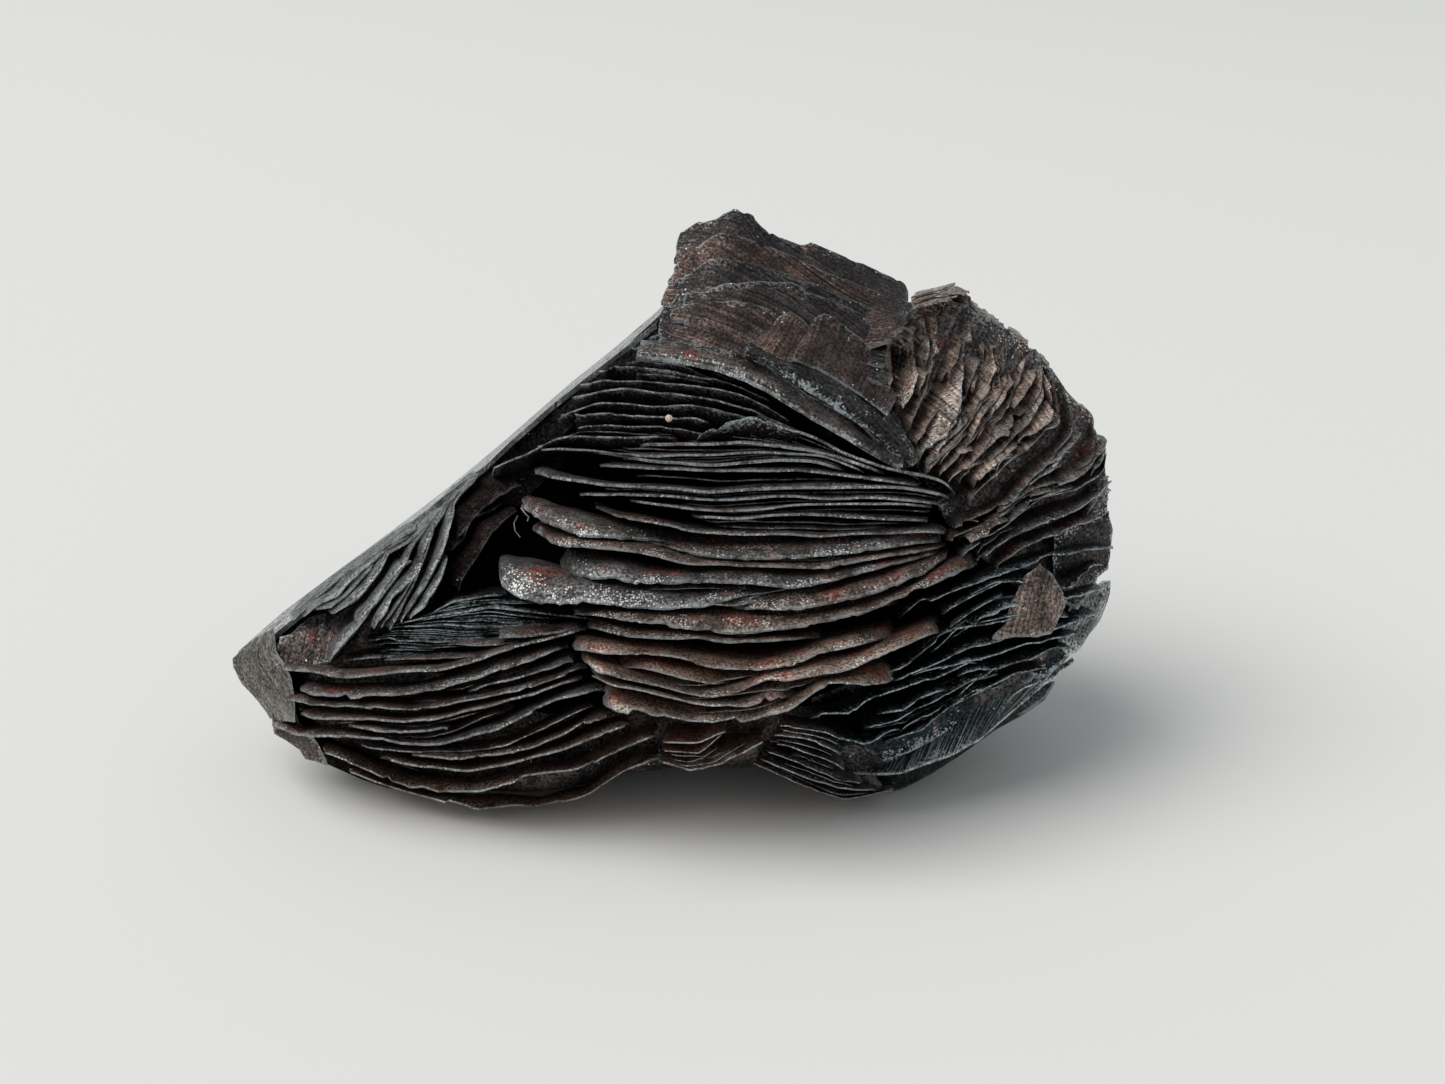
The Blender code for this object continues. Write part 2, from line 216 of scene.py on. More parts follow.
def softened(points: np.ndarray, times: int) -> np.ndarray:
    """Rounds the corners of a line, with its ends kept.

    Args:
        points: the line's points.
        times: how often each point moves to the middle of its neighbours.

    Returns:
        The rounded line.
    """
    points = points.copy()
    for _ in range(times):
        points[1:-1] = (points[:-2] + 2.0 * points[1:-1] + points[2:]) / 4.0
    return points


def broken(rng: np.random.Generator, places: np.ndarray, pitch: float, depth: float) -> np.ndarray:
    """Makes the uneven line of a broken edge.

    Args:
        rng: the source of chance.
        places: how far along the edge each point lies.
        pitch: the usual distance between two corners of the break.
        depth: the usual depth of the break.

    Returns:
        How far the edge is broken back at each place.
    """
    count = max(3, int((places[-1] - places[0]) / pitch) + 2)
    corners = np.sort(rng.uniform(places[0] - pitch, places[-1] + pitch, count))
    steep = np.column_stack([corners, corners + rng.choice([0.02, 0.4], count) * pitch]).ravel()
    return np.interp(places, np.sort(steep), rng.gamma(1.4, depth / 1.4, 2 * count))


@dataclass(frozen=True)
class Ripple:
    """Slow waves that run through all the plates alike."""

    lengths: tuple[float, ...] = (17.0, 7.0, 3.0)
    heights: tuple[float, ...] = (0.08, 0.035, 0.02)
    seed: int = 5

    def height(self, places: np.ndarray) -> np.ndarray:
        """Says how far the waves lift each place.

        Args:
            places: rows of (across, up, towards), in millimetres.

        Returns:
            The lifts, in millimetres.
        """
        rng = np.random.default_rng(self.seed)
        total = np.zeros(places.shape[:-1])
        for length, height in zip(self.lengths, self.heights):
            for _ in range(3):
                direction = rng.normal(size=3) * (1.0, 0.5, 1.0)
                direction /= np.linalg.norm(direction)
                total += height * np.sin(places @ direction * 2 * math.pi / length + rng.uniform(0, 6.3))
        return total


RIPPLE = Ripple()


def blended(pair: tuple[Place, Place], share: float) -> np.ndarray:
    """Blends the value at a book's first plate into the value at its last one."""
    return np.array(pair[0]) * (1.0 - share) + np.array(pair[1]) * share


def stretched(values: Sequence[float], count: int) -> np.ndarray:
    """Spreads a few values evenly over a number of places."""
    return np.interp(np.linspace(0.0, 1.0, count), np.linspace(0.0, 1.0, len(values)), values)


@dataclass
class Sheet:
    """A thin sheet over a grid of places, in columns along its near line and rows away from it."""

    places: np.ndarray
    along: np.ndarray
    depth: np.ndarray
    rim: np.ndarray
    tint: float
    thickness: float

    def add_to(self, book: bmesh.types.BMesh) -> None:
        """Builds the sheet with its thickness, cuts it off at the ground and adds it to a book.

        Args:
            book: the mesh of all the book's plates.
        """
        columns, rows = self.places.shape[0] - 1, self.places.shape[1] - 1
        sheet = bmesh.new()
        bmesh.ops.create_grid(sheet, x_segments=columns, y_segments=rows, size=0.5)
        lay = sheet.verts.layers.float_vector.new("lay")
        edge = sheet.verts.layers.float.new("rim")
        places = VIEW.in_the_round(self.places)
        for vertex in sheet.verts:
            i = round((vertex.co.x + 0.5) * columns)
            j = round((vertex.co.y + 0.5) * rows)
            vertex.co = places[i, j]
            vertex[lay] = (self.along[i, j], self.depth[i, j], self.tint)
            vertex[edge] = self.rim[i, j]
        bmesh.ops.solidify(sheet, geom=sheet.faces[:], thickness=self.thickness * MM)
        if min(vertex.co.z for vertex in sheet.verts) < 0.0:
            cut = bmesh.ops.bisect_plane(
                sheet, geom=sheet.verts[:] + sheet.edges[:] + sheet.faces[:],
                plane_co=(0.0, 0.0, 0.0), plane_no=(0.0, 0.0, 1.0), clear_inner=True,
            )
            open_edges = [e for e in cut["geom_cut"] if isinstance(e, bmesh.types.BMEdge)]
            bmesh.ops.holes_fill(sheet, edges=open_edges, sides=0)
        bmesh.ops.recalc_face_normals(sheet, faces=sheet.faces[:])
        mesh = bpy.data.meshes.new("sheet")
        sheet.to_mesh(mesh)
        sheet.free()
        book.from_mesh(mesh)
        bpy.data.meshes.remove(mesh)


def new_book() -> bmesh.types.BMesh:
    """Makes an empty mesh with the layers that sheets carry.

    Returns:
        The mesh.
    """
    book = bmesh.new()
    book.verts.layers.float_vector.new("lay")
    book.verts.layers.float.new("rim")
    return book


@dataclass
class Plate:
    """One crystal plate, which rolls up from its broken near edge and then runs inwards.

    The near edge, the faces' heights and the share of the reach that the plate has room for are given at the
    same places along the plate.
    """

    near: np.ndarray
    heights: np.ndarray
    room: np.ndarray
    front: Place
    roll: float
    run_in: tuple[float, float, float]
    reach: float
    thickness: float
    seed: int
    chip: float = 0.10
    bite: float = 0.30
    end_chip: float = 0.25
    column: float = 0.36
    depths: tuple[float, ...] = (0.0, 0.04, 0.1, 0.2, 0.34, 0.55, 1.0)
    bite_pitch: float = 3.5
    chip_pitch: float = 0.9
    fine_pitch: float = 0.35
    end_pitch: float = 0.8

    def add_to(self, book: bmesh.types.BMesh) -> None:
        """Builds the plate and adds it to a book.

        Args:
            book: the mesh of all the book's plates.
        """
        rng = np.random.default_rng(self.seed)
        stated = np.column_stack([self.near, self.heights, self.room])
        near, along = spread(stated, len(self.near) * 2)
        length = along[-1]
        columns = max(6, int(length / self.column))
        depths = np.array(self.depths) * self.reach
        steps = np.linspace(0.0, length, columns + 1)
        lost = broken(rng, steps, self.bite_pitch, self.bite) + broken(rng, steps, self.chip_pitch, self.chip)
        lost += broken(rng, steps, self.fine_pitch, self.chip * 0.4)
        ends = [broken(rng, depths, self.end_pitch, self.end_chip) for _ in range(2)]
        start = ends[0][None, :]
        span = length - ends[1][None, :] - start
        where = start + (steps / length)[:, None] * span
        depth = depths[None, :] + lost[:, None] * (1.0 - depths / self.reach)[None, :]
        laid = np.stack([np.interp(where, along, near[:, k]) for k in range(5)], -1)
        edge, heights, room = laid[..., :3], laid[..., 3], laid[..., 4]
        rise = heights * (1.0 - np.exp(-depth / self.roll))
        places = edge + rise[..., None] * np.array([*self.front, 0.0])
        places = places + (depth * room)[..., None] * np.array(self.run_in)
        heading = near[-1, :2] - near[0, :2]
        level = np.array([-heading[1], heading[0], 0.0]) / (np.linalg.norm(heading) + 1e-9)
        places = places + level * RIPPLE.height(places)[..., None]
        inward = depth - lost[:, None]
        rim = np.minimum(inward, np.minimum(where - start, start + span - where))
        Sheet(places, where, depth, rim, rng.uniform(), self.thickness).add_to(book)


@dataclass(frozen=True)
class Finish:
    """A finish of the crystal: how its faces look, with dust and painted highlight near the rims, a painted
    highlight along the very edge and painted glints.
    """

    name: str
    brown: Colour = (0.120, 0.078, 0.060)
    grey: Colour = (0.064, 0.058, 0.057)
    red: Colour = (0.150, 0.030, 0.021)
    # Colour of the dust and painted highlight near the rims, of the painted highlight along the edge and of
    # the painted sheen streaks
    rim: Colour = (0.32, 0.35, 0.365)
    # The colour of the painted glints, white specks of painted highlight
    painted_glint_colour: Colour = (0.80, 0.80, 0.79)
    red_share: float = 0.25
    # Strength of the dust and painted highlight in grains near the rims
    rim_dust_and_highlight: float = 0.8
    # How many painted glints, specks of painted highlight, there are
    glints: float = 0.05
    lines: float = 0.15
    line_turn: float = 0.0
    line_scale: tuple[float, float, float] = (0.12, 3.6, 3.0)
    # Strength of the painted sheen in streaks behind the edge
    streaks: float = 0.0
    # Strength of the painted highlight along the very edge
    edge: float = 0.5
    roughness: float = 0.42
    metallic: float = 0.7
    shine: float = 0.5
    patch_scale: float = 380.0
    blotch_scale: float = 750.0
    grain_scale: float = 4600.0
    flock_scale: float = 330.0
    glint_scale: float = 5200.0
    relief: float = 0.00007

    def build(self) -> bpy.types.Material:
        """Makes the material.

        Returns:
            The material, with its colour, gloss and relief worked out from the plates' own lay.
        """
        material = bpy.data.materials.new(self.name)
        material.use_nodes = True
        tree = material.node_tree
        shader = tree.nodes["Principled BSDF"]
        shader.inputs["Metallic"].default_value = self.metallic
        shader.inputs["Specular IOR Level"].default_value = self.shine
        graph = Graph(tree)
        pattern = self._pattern(graph)
        shade = self._dust_and_highlight(graph, pattern, self._face(graph, pattern))
        # Painted glints: white specks of painted highlight mixed into the colour
        shade = graph.mix(self._scatter_painted_glints(graph, pattern), shade, self.painted_glint_colour)
        tree.links.new(shade, shader.inputs["Base Color"])
        gloss = graph.span(pattern.grain, 0.35, 0.65, self.roughness + 0.16, self.roughness - 0.12)
        tree.links.new(gloss, shader.inputs["Roughness"])
        height = graph.math("ADD", graph.math("MULTIPLY", pattern.lines, self.lines * 2.0), pattern.grain)
        bump = graph.add("ShaderNodeBump", {"Height": height, "Strength": 0.9, "Distance": self.relief})
        tree.links.new(bump.outputs["Normal"], shader.inputs["Normal"])
        return material

    def _pattern(self, graph: "Graph") -> "Pattern":
        """Reads the plate's own lay and the noises that the finish is made of.

        Args:
            graph: the material's nodes.

        Returns:
            The readings, with the fine growth lines as noise drawn out along one direction of the plate.
        """
        place = graph.add("ShaderNodeTexCoord").outputs["Object"]
        lay = graph.attribute("lay", "Vector")
        turned = graph.add("ShaderNodeMapping", {"Vector": lay, "Rotation": (0.0, 0.0, self.line_turn)})
        drawn = graph.add("ShaderNodeMapping", {"Vector": turned.outputs[0], "Scale": self.line_scale})
        return Pattern(
            place=place,
            tint=graph.add("ShaderNodeSeparateXYZ", {"Vector": lay}).outputs["Z"],
            rim=graph.attribute("rim", "Fac"),
            grain=graph.noise(place, self.grain_scale, 4.0),
            blotches=graph.noise(place, self.blotch_scale, 4.0),
            lines=graph.noise(drawn.outputs[0], 1.0, 3.0),
        )

    def _face(self, graph: "Graph", pattern: "Pattern") -> Socket:
        """Colours the faces: brown or grey plate by plate, with rusty patches, grain and growth lines.

        Args:
            graph: the material's nodes.
            pattern: the readings.

        Returns:
            The colour.
        """
        shade = graph.mix(graph.ramp(pattern.tint, 0.25, 0.75), self.grey, self.brown)
        patches = graph.noise(pattern.place, self.patch_scale, 5.0)
        low = 0.68 - 0.3 * self.red_share
        shade = graph.mix(graph.span(patches, low, low + 0.10, 0.0, 0.65), shade, self.red)
        shade = graph.brighten(shade, graph.span(pattern.grain, 0.36, 0.64, 0.3, 1.9))
        shade = graph.brighten(shade, graph.span(pattern.blotches, 0.35, 0.65, 0.55, 1.45))
        dark, light = 1.0 - self.lines, 1.0 + 1.6 * self.lines
        return graph.brighten(shade, graph.span(pattern.lines, 0.3, 0.7, dark, light))

    def _dust_and_highlight(self, graph: "Graph", pattern: "Pattern", shade: Socket) -> Socket:
        """Lightens the plate with dust and painted highlight in grains near the rim, a painted highlight
        along its very edge and, if asked, painted sheen in streaks behind it.

        Args:
            graph: the material's nodes.
            pattern: the readings.
            shade: the colour of the faces.

        Returns:
            The colour.
        """
        # Dust and painted highlight: light grains that thicken towards the rim
        dust = graph.math("ADD", pattern.grain, graph.span(pattern.rim, 0.0, 1.0, 0.15, -0.06))
        dust = graph.math("ADD", dust, graph.span(pattern.blotches, 0.35, 0.65, -0.09, 0.08))
        dust_and_highlight_share = graph.math("MULTIPLY", graph.ramp(dust, 0.62, 0.72), self.rim_dust_and_highlight)
        shade = graph.mix(dust_and_highlight_share, shade, self.rim)
        # Painted highlight: a thin light line along the very edge of the plate
        edge_highlight = graph.span(pattern.rim, 0.02, 0.15, self.edge, 0.0)
        broken_up = graph.ramp(pattern.blotches, 0.3, 0.55)
        shade = graph.mix(graph.math("MULTIPLY", edge_highlight, broken_up), shade, self.rim)
        # Painted sheen: light streaks along the growth lines behind the edge
        if self.streaks:
            near_edge = graph.span(pattern.rim, 0.0, 2.6, self.streaks, 0.0)
            streaked = graph.math("MULTIPLY", graph.ramp(pattern.lines, 0.5, 0.62), near_edge)
            shade = graph.mix(streaked, shade, self.rim)
        return shade

    def _scatter_painted_glints(self, graph: "Graph", pattern: "Pattern") -> Socket:
        """Scatters painted glints, single specks of painted highlight, most of them in flocks near the rims.

        Args:
            graph: the material's nodes.
            pattern: the readings.

        Returns:
            The share of the painted glints' colour.
        """
        cells = graph.add("ShaderNodeTexVoronoi", {"Vector": pattern.place, "Scale": self.glint_scale})
        chance = graph.add("ShaderNodeSeparateColor", {"Color": cells.outputs["Color"]}).outputs[0]
        flock = graph.span(graph.noise(pattern.place, self.flock_scale, 3.0), 0.54, 0.72, 0.02, 1.0)
        near_rim = graph.span(pattern.rim, 0.1, 1.3, 1.0, 0.06)
        wanted = graph.math("MULTIPLY", graph.math("MULTIPLY", flock, near_rim), self.glints * 8.0)
        picked = graph.math("LESS_THAN", chance, wanted)
        core = graph.span(cells.outputs["Distance"], 0.15, 0.5, 1.0, 0.0)
        return graph.math("MULTIPLY", picked, core)


@dataclass(frozen=True)
class Pattern:
    """What a finish reads at each point of a plate."""

    place: Socket
    tint: Socket
    rim: Socket
    grain: Socket
    blotches: Socket
    lines: Socket


class Graph:
    """A short way of wiring a material's nodes."""

    def __init__(self, tree: bpy.types.NodeTree) -> None:
        """Keeps the tree that the nodes go in."""
        self.tree = tree

    def add(self, kind: str, inputs: Optional[dict] = None) -> bpy.types.Node:
        """Adds a node.

        Args:
            kind: the node's type.
            inputs: a socket to link, or a value, for each named input.

        Returns:
            The node.
        """
        node = self.tree.nodes.new(kind)
        for name, value in (inputs or {}).items():
            if isinstance(value, Socket):
                self.tree.links.new(value, node.inputs[name])
            else:
                node.inputs[name].default_value = value
        return node

    def attribute(self, name: str, output: str) -> Socket:
        """Reads a mesh attribute.

        Args:
            name: the attribute's name.
            output: which output of the node to read.

        Returns:
            The output.
        """
        node = self.add("ShaderNodeAttribute")
        node.attribute_name = name
        return node.outputs[output]

    def noise(self, vector: Socket, scale: float, detail: float) -> Socket:
        """Reads a noise of a scale and detail."""
        node = self.add("ShaderNodeTexNoise", {"Vector": vector, "Scale": scale, "Detail": detail})
        return node.outputs["Fac"]

    def math(self, operation: str, first: Socket | float, second: Socket | float) -> Socket:
        """Works out a sum, product or comparison.

        Args:
            operation: the node's operation.
            first: a socket or a value.
            second: a socket or a value.

        Returns:
            The result.
        """
        node = self.tree.nodes.new("ShaderNodeMath")
        node.operation = operation
        for socket, value in zip(node.inputs, (first, second)):
            if isinstance(value, Socket):
                self.tree.links.new(value, socket)
            else:
                socket.default_value = value
        return node.outputs[0]

    def span(self, value: Socket, low: float, high: float, to_low: float, to_high: float) -> Socket:
        """Maps a value from one span onto another, held at both ends."""
        inputs = {"Value": value, "From Min": low, "From Max": high, "To Min": to_low, "To Max": to_high}
        return self.add("ShaderNodeMapRange", inputs).outputs[0]

    def ramp(self, value: Socket, low: float, high: float) -> Socket:
        """Maps a value from a span onto nought to one."""
        return self.span(value, low, high, 0.0, 1.0)

    def mix(self, share: Socket, first: Socket | Colour, second: Socket | Colour) -> Socket:
        """Mixes two colours.

        Args:
            share: the share of the second colour.
            first: a socket or a colour.
            second: a socket or a colour.

        Returns:
            The mixed colour.
        """
        node = self.tree.nodes.new("ShaderNodeMix")
        node.data_type = "RGBA"
        for socket, value in ((node.inputs[0], share), (node.inputs[6], first), (node.inputs[7], second)):
            if isinstance(value, Socket):
                self.tree.links.new(value, socket)
            else:
                socket.default_value = (*value, 1.0)
        return node.outputs[2]

    def brighten(self, colour: Socket, factor: Socket) -> Socket:
        """Multiplies a colour by a value.

        Args:
            colour: the colour.
            factor: the value.

        Returns:
            The brighter or darker colour.
        """
        node = self.add("ShaderNodeVectorMath")
        node.operation = "SCALE"
        self.tree.links.new(colour, node.inputs[0])
        self.tree.links.new(factor, node.inputs["Scale"])
        return node.outputs[0]


# In every finish the rim colour gives dust and painted highlight near the rims and a painted highlight along
# the very edge; the glints are specks of painted highlight
BROWN_PLATES = Finish("brown_plates", glints=0.20)
UPPER_PLATES = Finish(
    "upper_plates", brown=(0.052, 0.044, 0.041), grey=(0.036, 0.036, 0.038), rim=(0.40, 0.42, 0.43),
    red_share=0.1, rim_dust_and_highlight=1.0, glints=0.03, lines=0.5, line_turn=math.pi / 2,
)
RIDGE_PLATES = Finish(
    "ridge_plates", brown=(0.082, 0.070, 0.064), grey=(0.060, 0.056, 0.055), red_share=0.12, glints=0.16,
    lines=0.3,
)
LIT_PLATES = Finish(
    "lit_plates", brown=(0.110, 0.074, 0.058), grey=(0.067, 0.063, 0.062), red=(0.165, 0.038, 0.026),
    red_share=0.42, glints=0.34, lines=0.2, rim_dust_and_highlight=0.4, roughness=0.5, metallic=0.5,
)
LEFT_PLATES = Finish(
    "left_plates", brown=(0.165, 0.112, 0.088), grey=(0.105, 0.098, 0.096), red=(0.190, 0.046, 0.032),
    red_share=0.42, glints=0.5, lines=0.2, rim_dust_and_highlight=0.6,
)
RUST_PLATES = Finish(
    "rust_plates", brown=(0.300, 0.190, 0.135), grey=(0.205, 0.155, 0.125), red=(0.310, 0.085, 0.052),
    red_share=0.55, glints=0.40, lines=0.25,
)
DARK_PLATES = Finish(
    "dark_plates", brown=(0.032, 0.029, 0.028), grey=(0.018, 0.026, 0.031), red_share=0.05, glints=0.08,
    rim=(0.42, 0.48, 0.50), rim_dust_and_highlight=0.8, lines=0.4, edge=0.4, shine=0.3,
)
RIBBONS = Finish(
    "ribbon_plates", brown=(0.165, 0.168, 0.168), grey=(0.115, 0.120, 0.123), red_share=0.03, glints=0.05,
    rim=(0.40, 0.41, 0.41), lines=0.6,
)
PACKET_PLATES = Finish(
    "packet_plates", brown=(0.320, 0.235, 0.192), grey=(0.215, 0.175, 0.152), red_share=0.3, glints=0.20,
    rim_dust_and_highlight=0.45, lines=0.7, line_turn=math.pi / 2,
)
PACKET_FOOT_PLATES = Finish(
    "packet_foot_plates", brown=(0.125, 0.092, 0.076), grey=(0.070, 0.064, 0.062), red_share=0.3, glints=0.25,
    lines=0.5, line_turn=math.pi / 2, shine=0.3,
)
CROWN_PLATES = Finish(
    "crown_plates", brown=(0.043, 0.028, 0.024), grey=(0.020, 0.0165, 0.0165), red_share=0.0, lines=0.95,
    line_turn=0.36, line_scale=(0.05, 4.6, 3.0), rim_dust_and_highlight=0.22, glints=0.03, edge=0.3,
)
LOBE_FACE = Finish(
    "lobe_face", brown=(0.062, 0.041, 0.034), grey=(0.042, 0.030, 0.027), red_share=0.1, lines=0.45,
    line_turn=math.pi / 2, rim_dust_and_highlight=0.25, glints=0.06,
)
# Pale silvery grey, much lighter than the other plates: partly the flank's own lustre, partly a painted
# highlight along the flank
FLANK_FACE = Finish(
    "flank_face", brown=(0.35, 0.36, 0.35), grey=(0.27, 0.28, 0.28), red_share=0.0, lines=0.6,
    rim_dust_and_highlight=0.3, roughness=0.34, metallic=0.8, glints=0.03,
)
RIGHT_FACE = Finish(
    "right_face", brown=(0.120, 0.088, 0.074), grey=(0.075, 0.066, 0.060), red_share=0.1, lines=0.8,
    line_turn=math.pi / 2, rim_dust_and_highlight=0.4, glints=0.10,
)
LEAF_FACE = Finish(
    "leaf_face", brown=(0.050, 0.036, 0.031), grey=(0.032, 0.026, 0.025), red_share=0.0, lines=0.6,
    line_turn=math.pi / 2, rim_dust_and_highlight=0.5, glints=0.02,
)
BACK_FACE = Finish(
    "back_face", brown=(0.070, 0.052, 0.044), grey=(0.038, 0.033, 0.032), red_share=0.2, lines=0.3,
    rim_dust_and_highlight=0.1, glints=0.02, edge=0.0,
)
# Near black with hardly any shine: painted shade for the deep light traps between the plates
PAINTED_SHADE_WALL = Finish(
    "painted_shade_wall", brown=(0.012, 0.008, 0.007), grey=(0.006, 0.005, 0.005), red_share=0.0, lines=0.6,
    line_turn=math.pi / 2, rim_dust_and_highlight=0.05, glints=0.01, edge=0.12, roughness=0.55, shine=0.05,
)
PALE_FACE = Finish(
    "pale_face", brown=(0.096, 0.089, 0.074), grey=(0.075, 0.070, 0.062), red_share=0.0, lines=0.7,
    line_turn=0.2, rim_dust_and_highlight=0.4, glints=0.03,
)
# The light streaks of this finish are painted sheen
SILVER_FACE = Finish(
    "silver_face", brown=(0.040, 0.050, 0.055), grey=(0.026, 0.034, 0.040), red_share=0.0, lines=0.7,
    line_turn=math.pi / 2, line_scale=(0.25, 4.5, 3.0), streaks=0.9, rim=(0.55, 0.60, 0.60), rim_dust_and_highlight=0.8,
    glints=0.30,
)
LENS_FACE = Finish(
    "lens_face", brown=(0.024, 0.025, 0.027), grey=(0.018, 0.020, 0.022), red_share=0.0, lines=0.2,
    rim_dust_and_highlight=0.12, glints=0.01,
)
PATCH_FACE = Finish(
    "patch_face", brown=(0.160, 0.175, 0.170), grey=(0.110, 0.130, 0.128), red_share=0.0, lines=0.6,
    line_turn=math.pi / 2, rim=(0.60, 0.66, 0.62), rim_dust_and_highlight=1.0, glints=0.60,
)


@dataclass(frozen=True)
class PlainFinish:
    """A plain finish of one colour."""

    name: str
    colour: Colour
    roughness: float = 0.9
    shine: float = 0.5

    def build(self) -> bpy.types.Material:
        """Makes the material.

        Returns:
            The material.
        """
        material = bpy.data.materials.new(self.name)
        material.use_nodes = True
        shader = material.node_tree.nodes["Principled BSDF"]
        shader.inputs["Base Color"].default_value = (*self.colour, 1.0)
        shader.inputs["Roughness"].default_value = self.roughness
        shader.inputs["Specular IOR Level"].default_value = self.shine
        return material


# Near black without shine: painted shade for the deep gaps inside the cluster
PAINTED_SHADE_CORE = PlainFinish("inner_painted_shade", (0.003, 0.003, 0.0035), shine=0.0)
FLOOR = PlainFinish("floor", (0.80, 0.80, 0.785))
SAND = PlainFinish("sand", (0.62, 0.52, 0.38), 0.6)
LINT = PlainFinish("lint", (0.34, 0.36, 0.38), 0.7)


def finished_object(
    bm: bmesh.types.BMesh, name: str, material: bpy.types.Material
) -> bpy.types.Object:
    """Makes a finished piece of a mesh and hands it to the frame.

    Args:
        bm: the piece's mesh, in the part's own frame.
        name: the piece's name.
        material: its material.

    Returns:
        The piece.
    """
    mesh = bpy.data.meshes.new(name)
    bm.to_mesh(mesh)
    bm.free()
    mesh.materials.append(material)
    mesh.shade_smooth()
    mesh.set_sharp_from_angle(angle=SHARP_ANGLE)
    piece = bpy.data.objects.new(name, mesh)
    bpy.context.scene.collection.objects.link(piece)
    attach(piece, BODY_NAME)
    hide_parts(NODE)
    LOG.info("%s: %d faces", name, len(mesh.polygons))
    return piece


def room_to(
    row: np.ndarray, others: list[np.ndarray], direction: Place, most: float, alone: float
) -> np.ndarray:
    """Measures how much room each point of an edge has before the next edge in a direction.

    Args:
        row: the edge's points, in the view plane.
        others: the other edges' points.
        direction: the way to look.
        most: the most room that counts.
        alone: the room given where nothing lies that way.

    Returns:
        The room at each point, in millimetres.
    """
    forward = np.array(direction) / (np.hypot(*direction) + 1e-9)
    sideways = np.array([-forward[1], forward[0]])
    if not others:
        return np.full(len(row), alone)
    points = np.concatenate([spread(other, 160)[0] for other in others])
    offset = points[None, :, :] - row[:, None, :]
    ahead, aside = offset @ forward, np.abs(offset @ sideways)
    lane, nearest = 0.3, 0.18
    ahead = np.where((aside < lane) & (ahead > nearest), ahead, np.inf).min(axis=1)
    return np.where(np.isinf(ahead), alone, np.minimum(ahead, most))


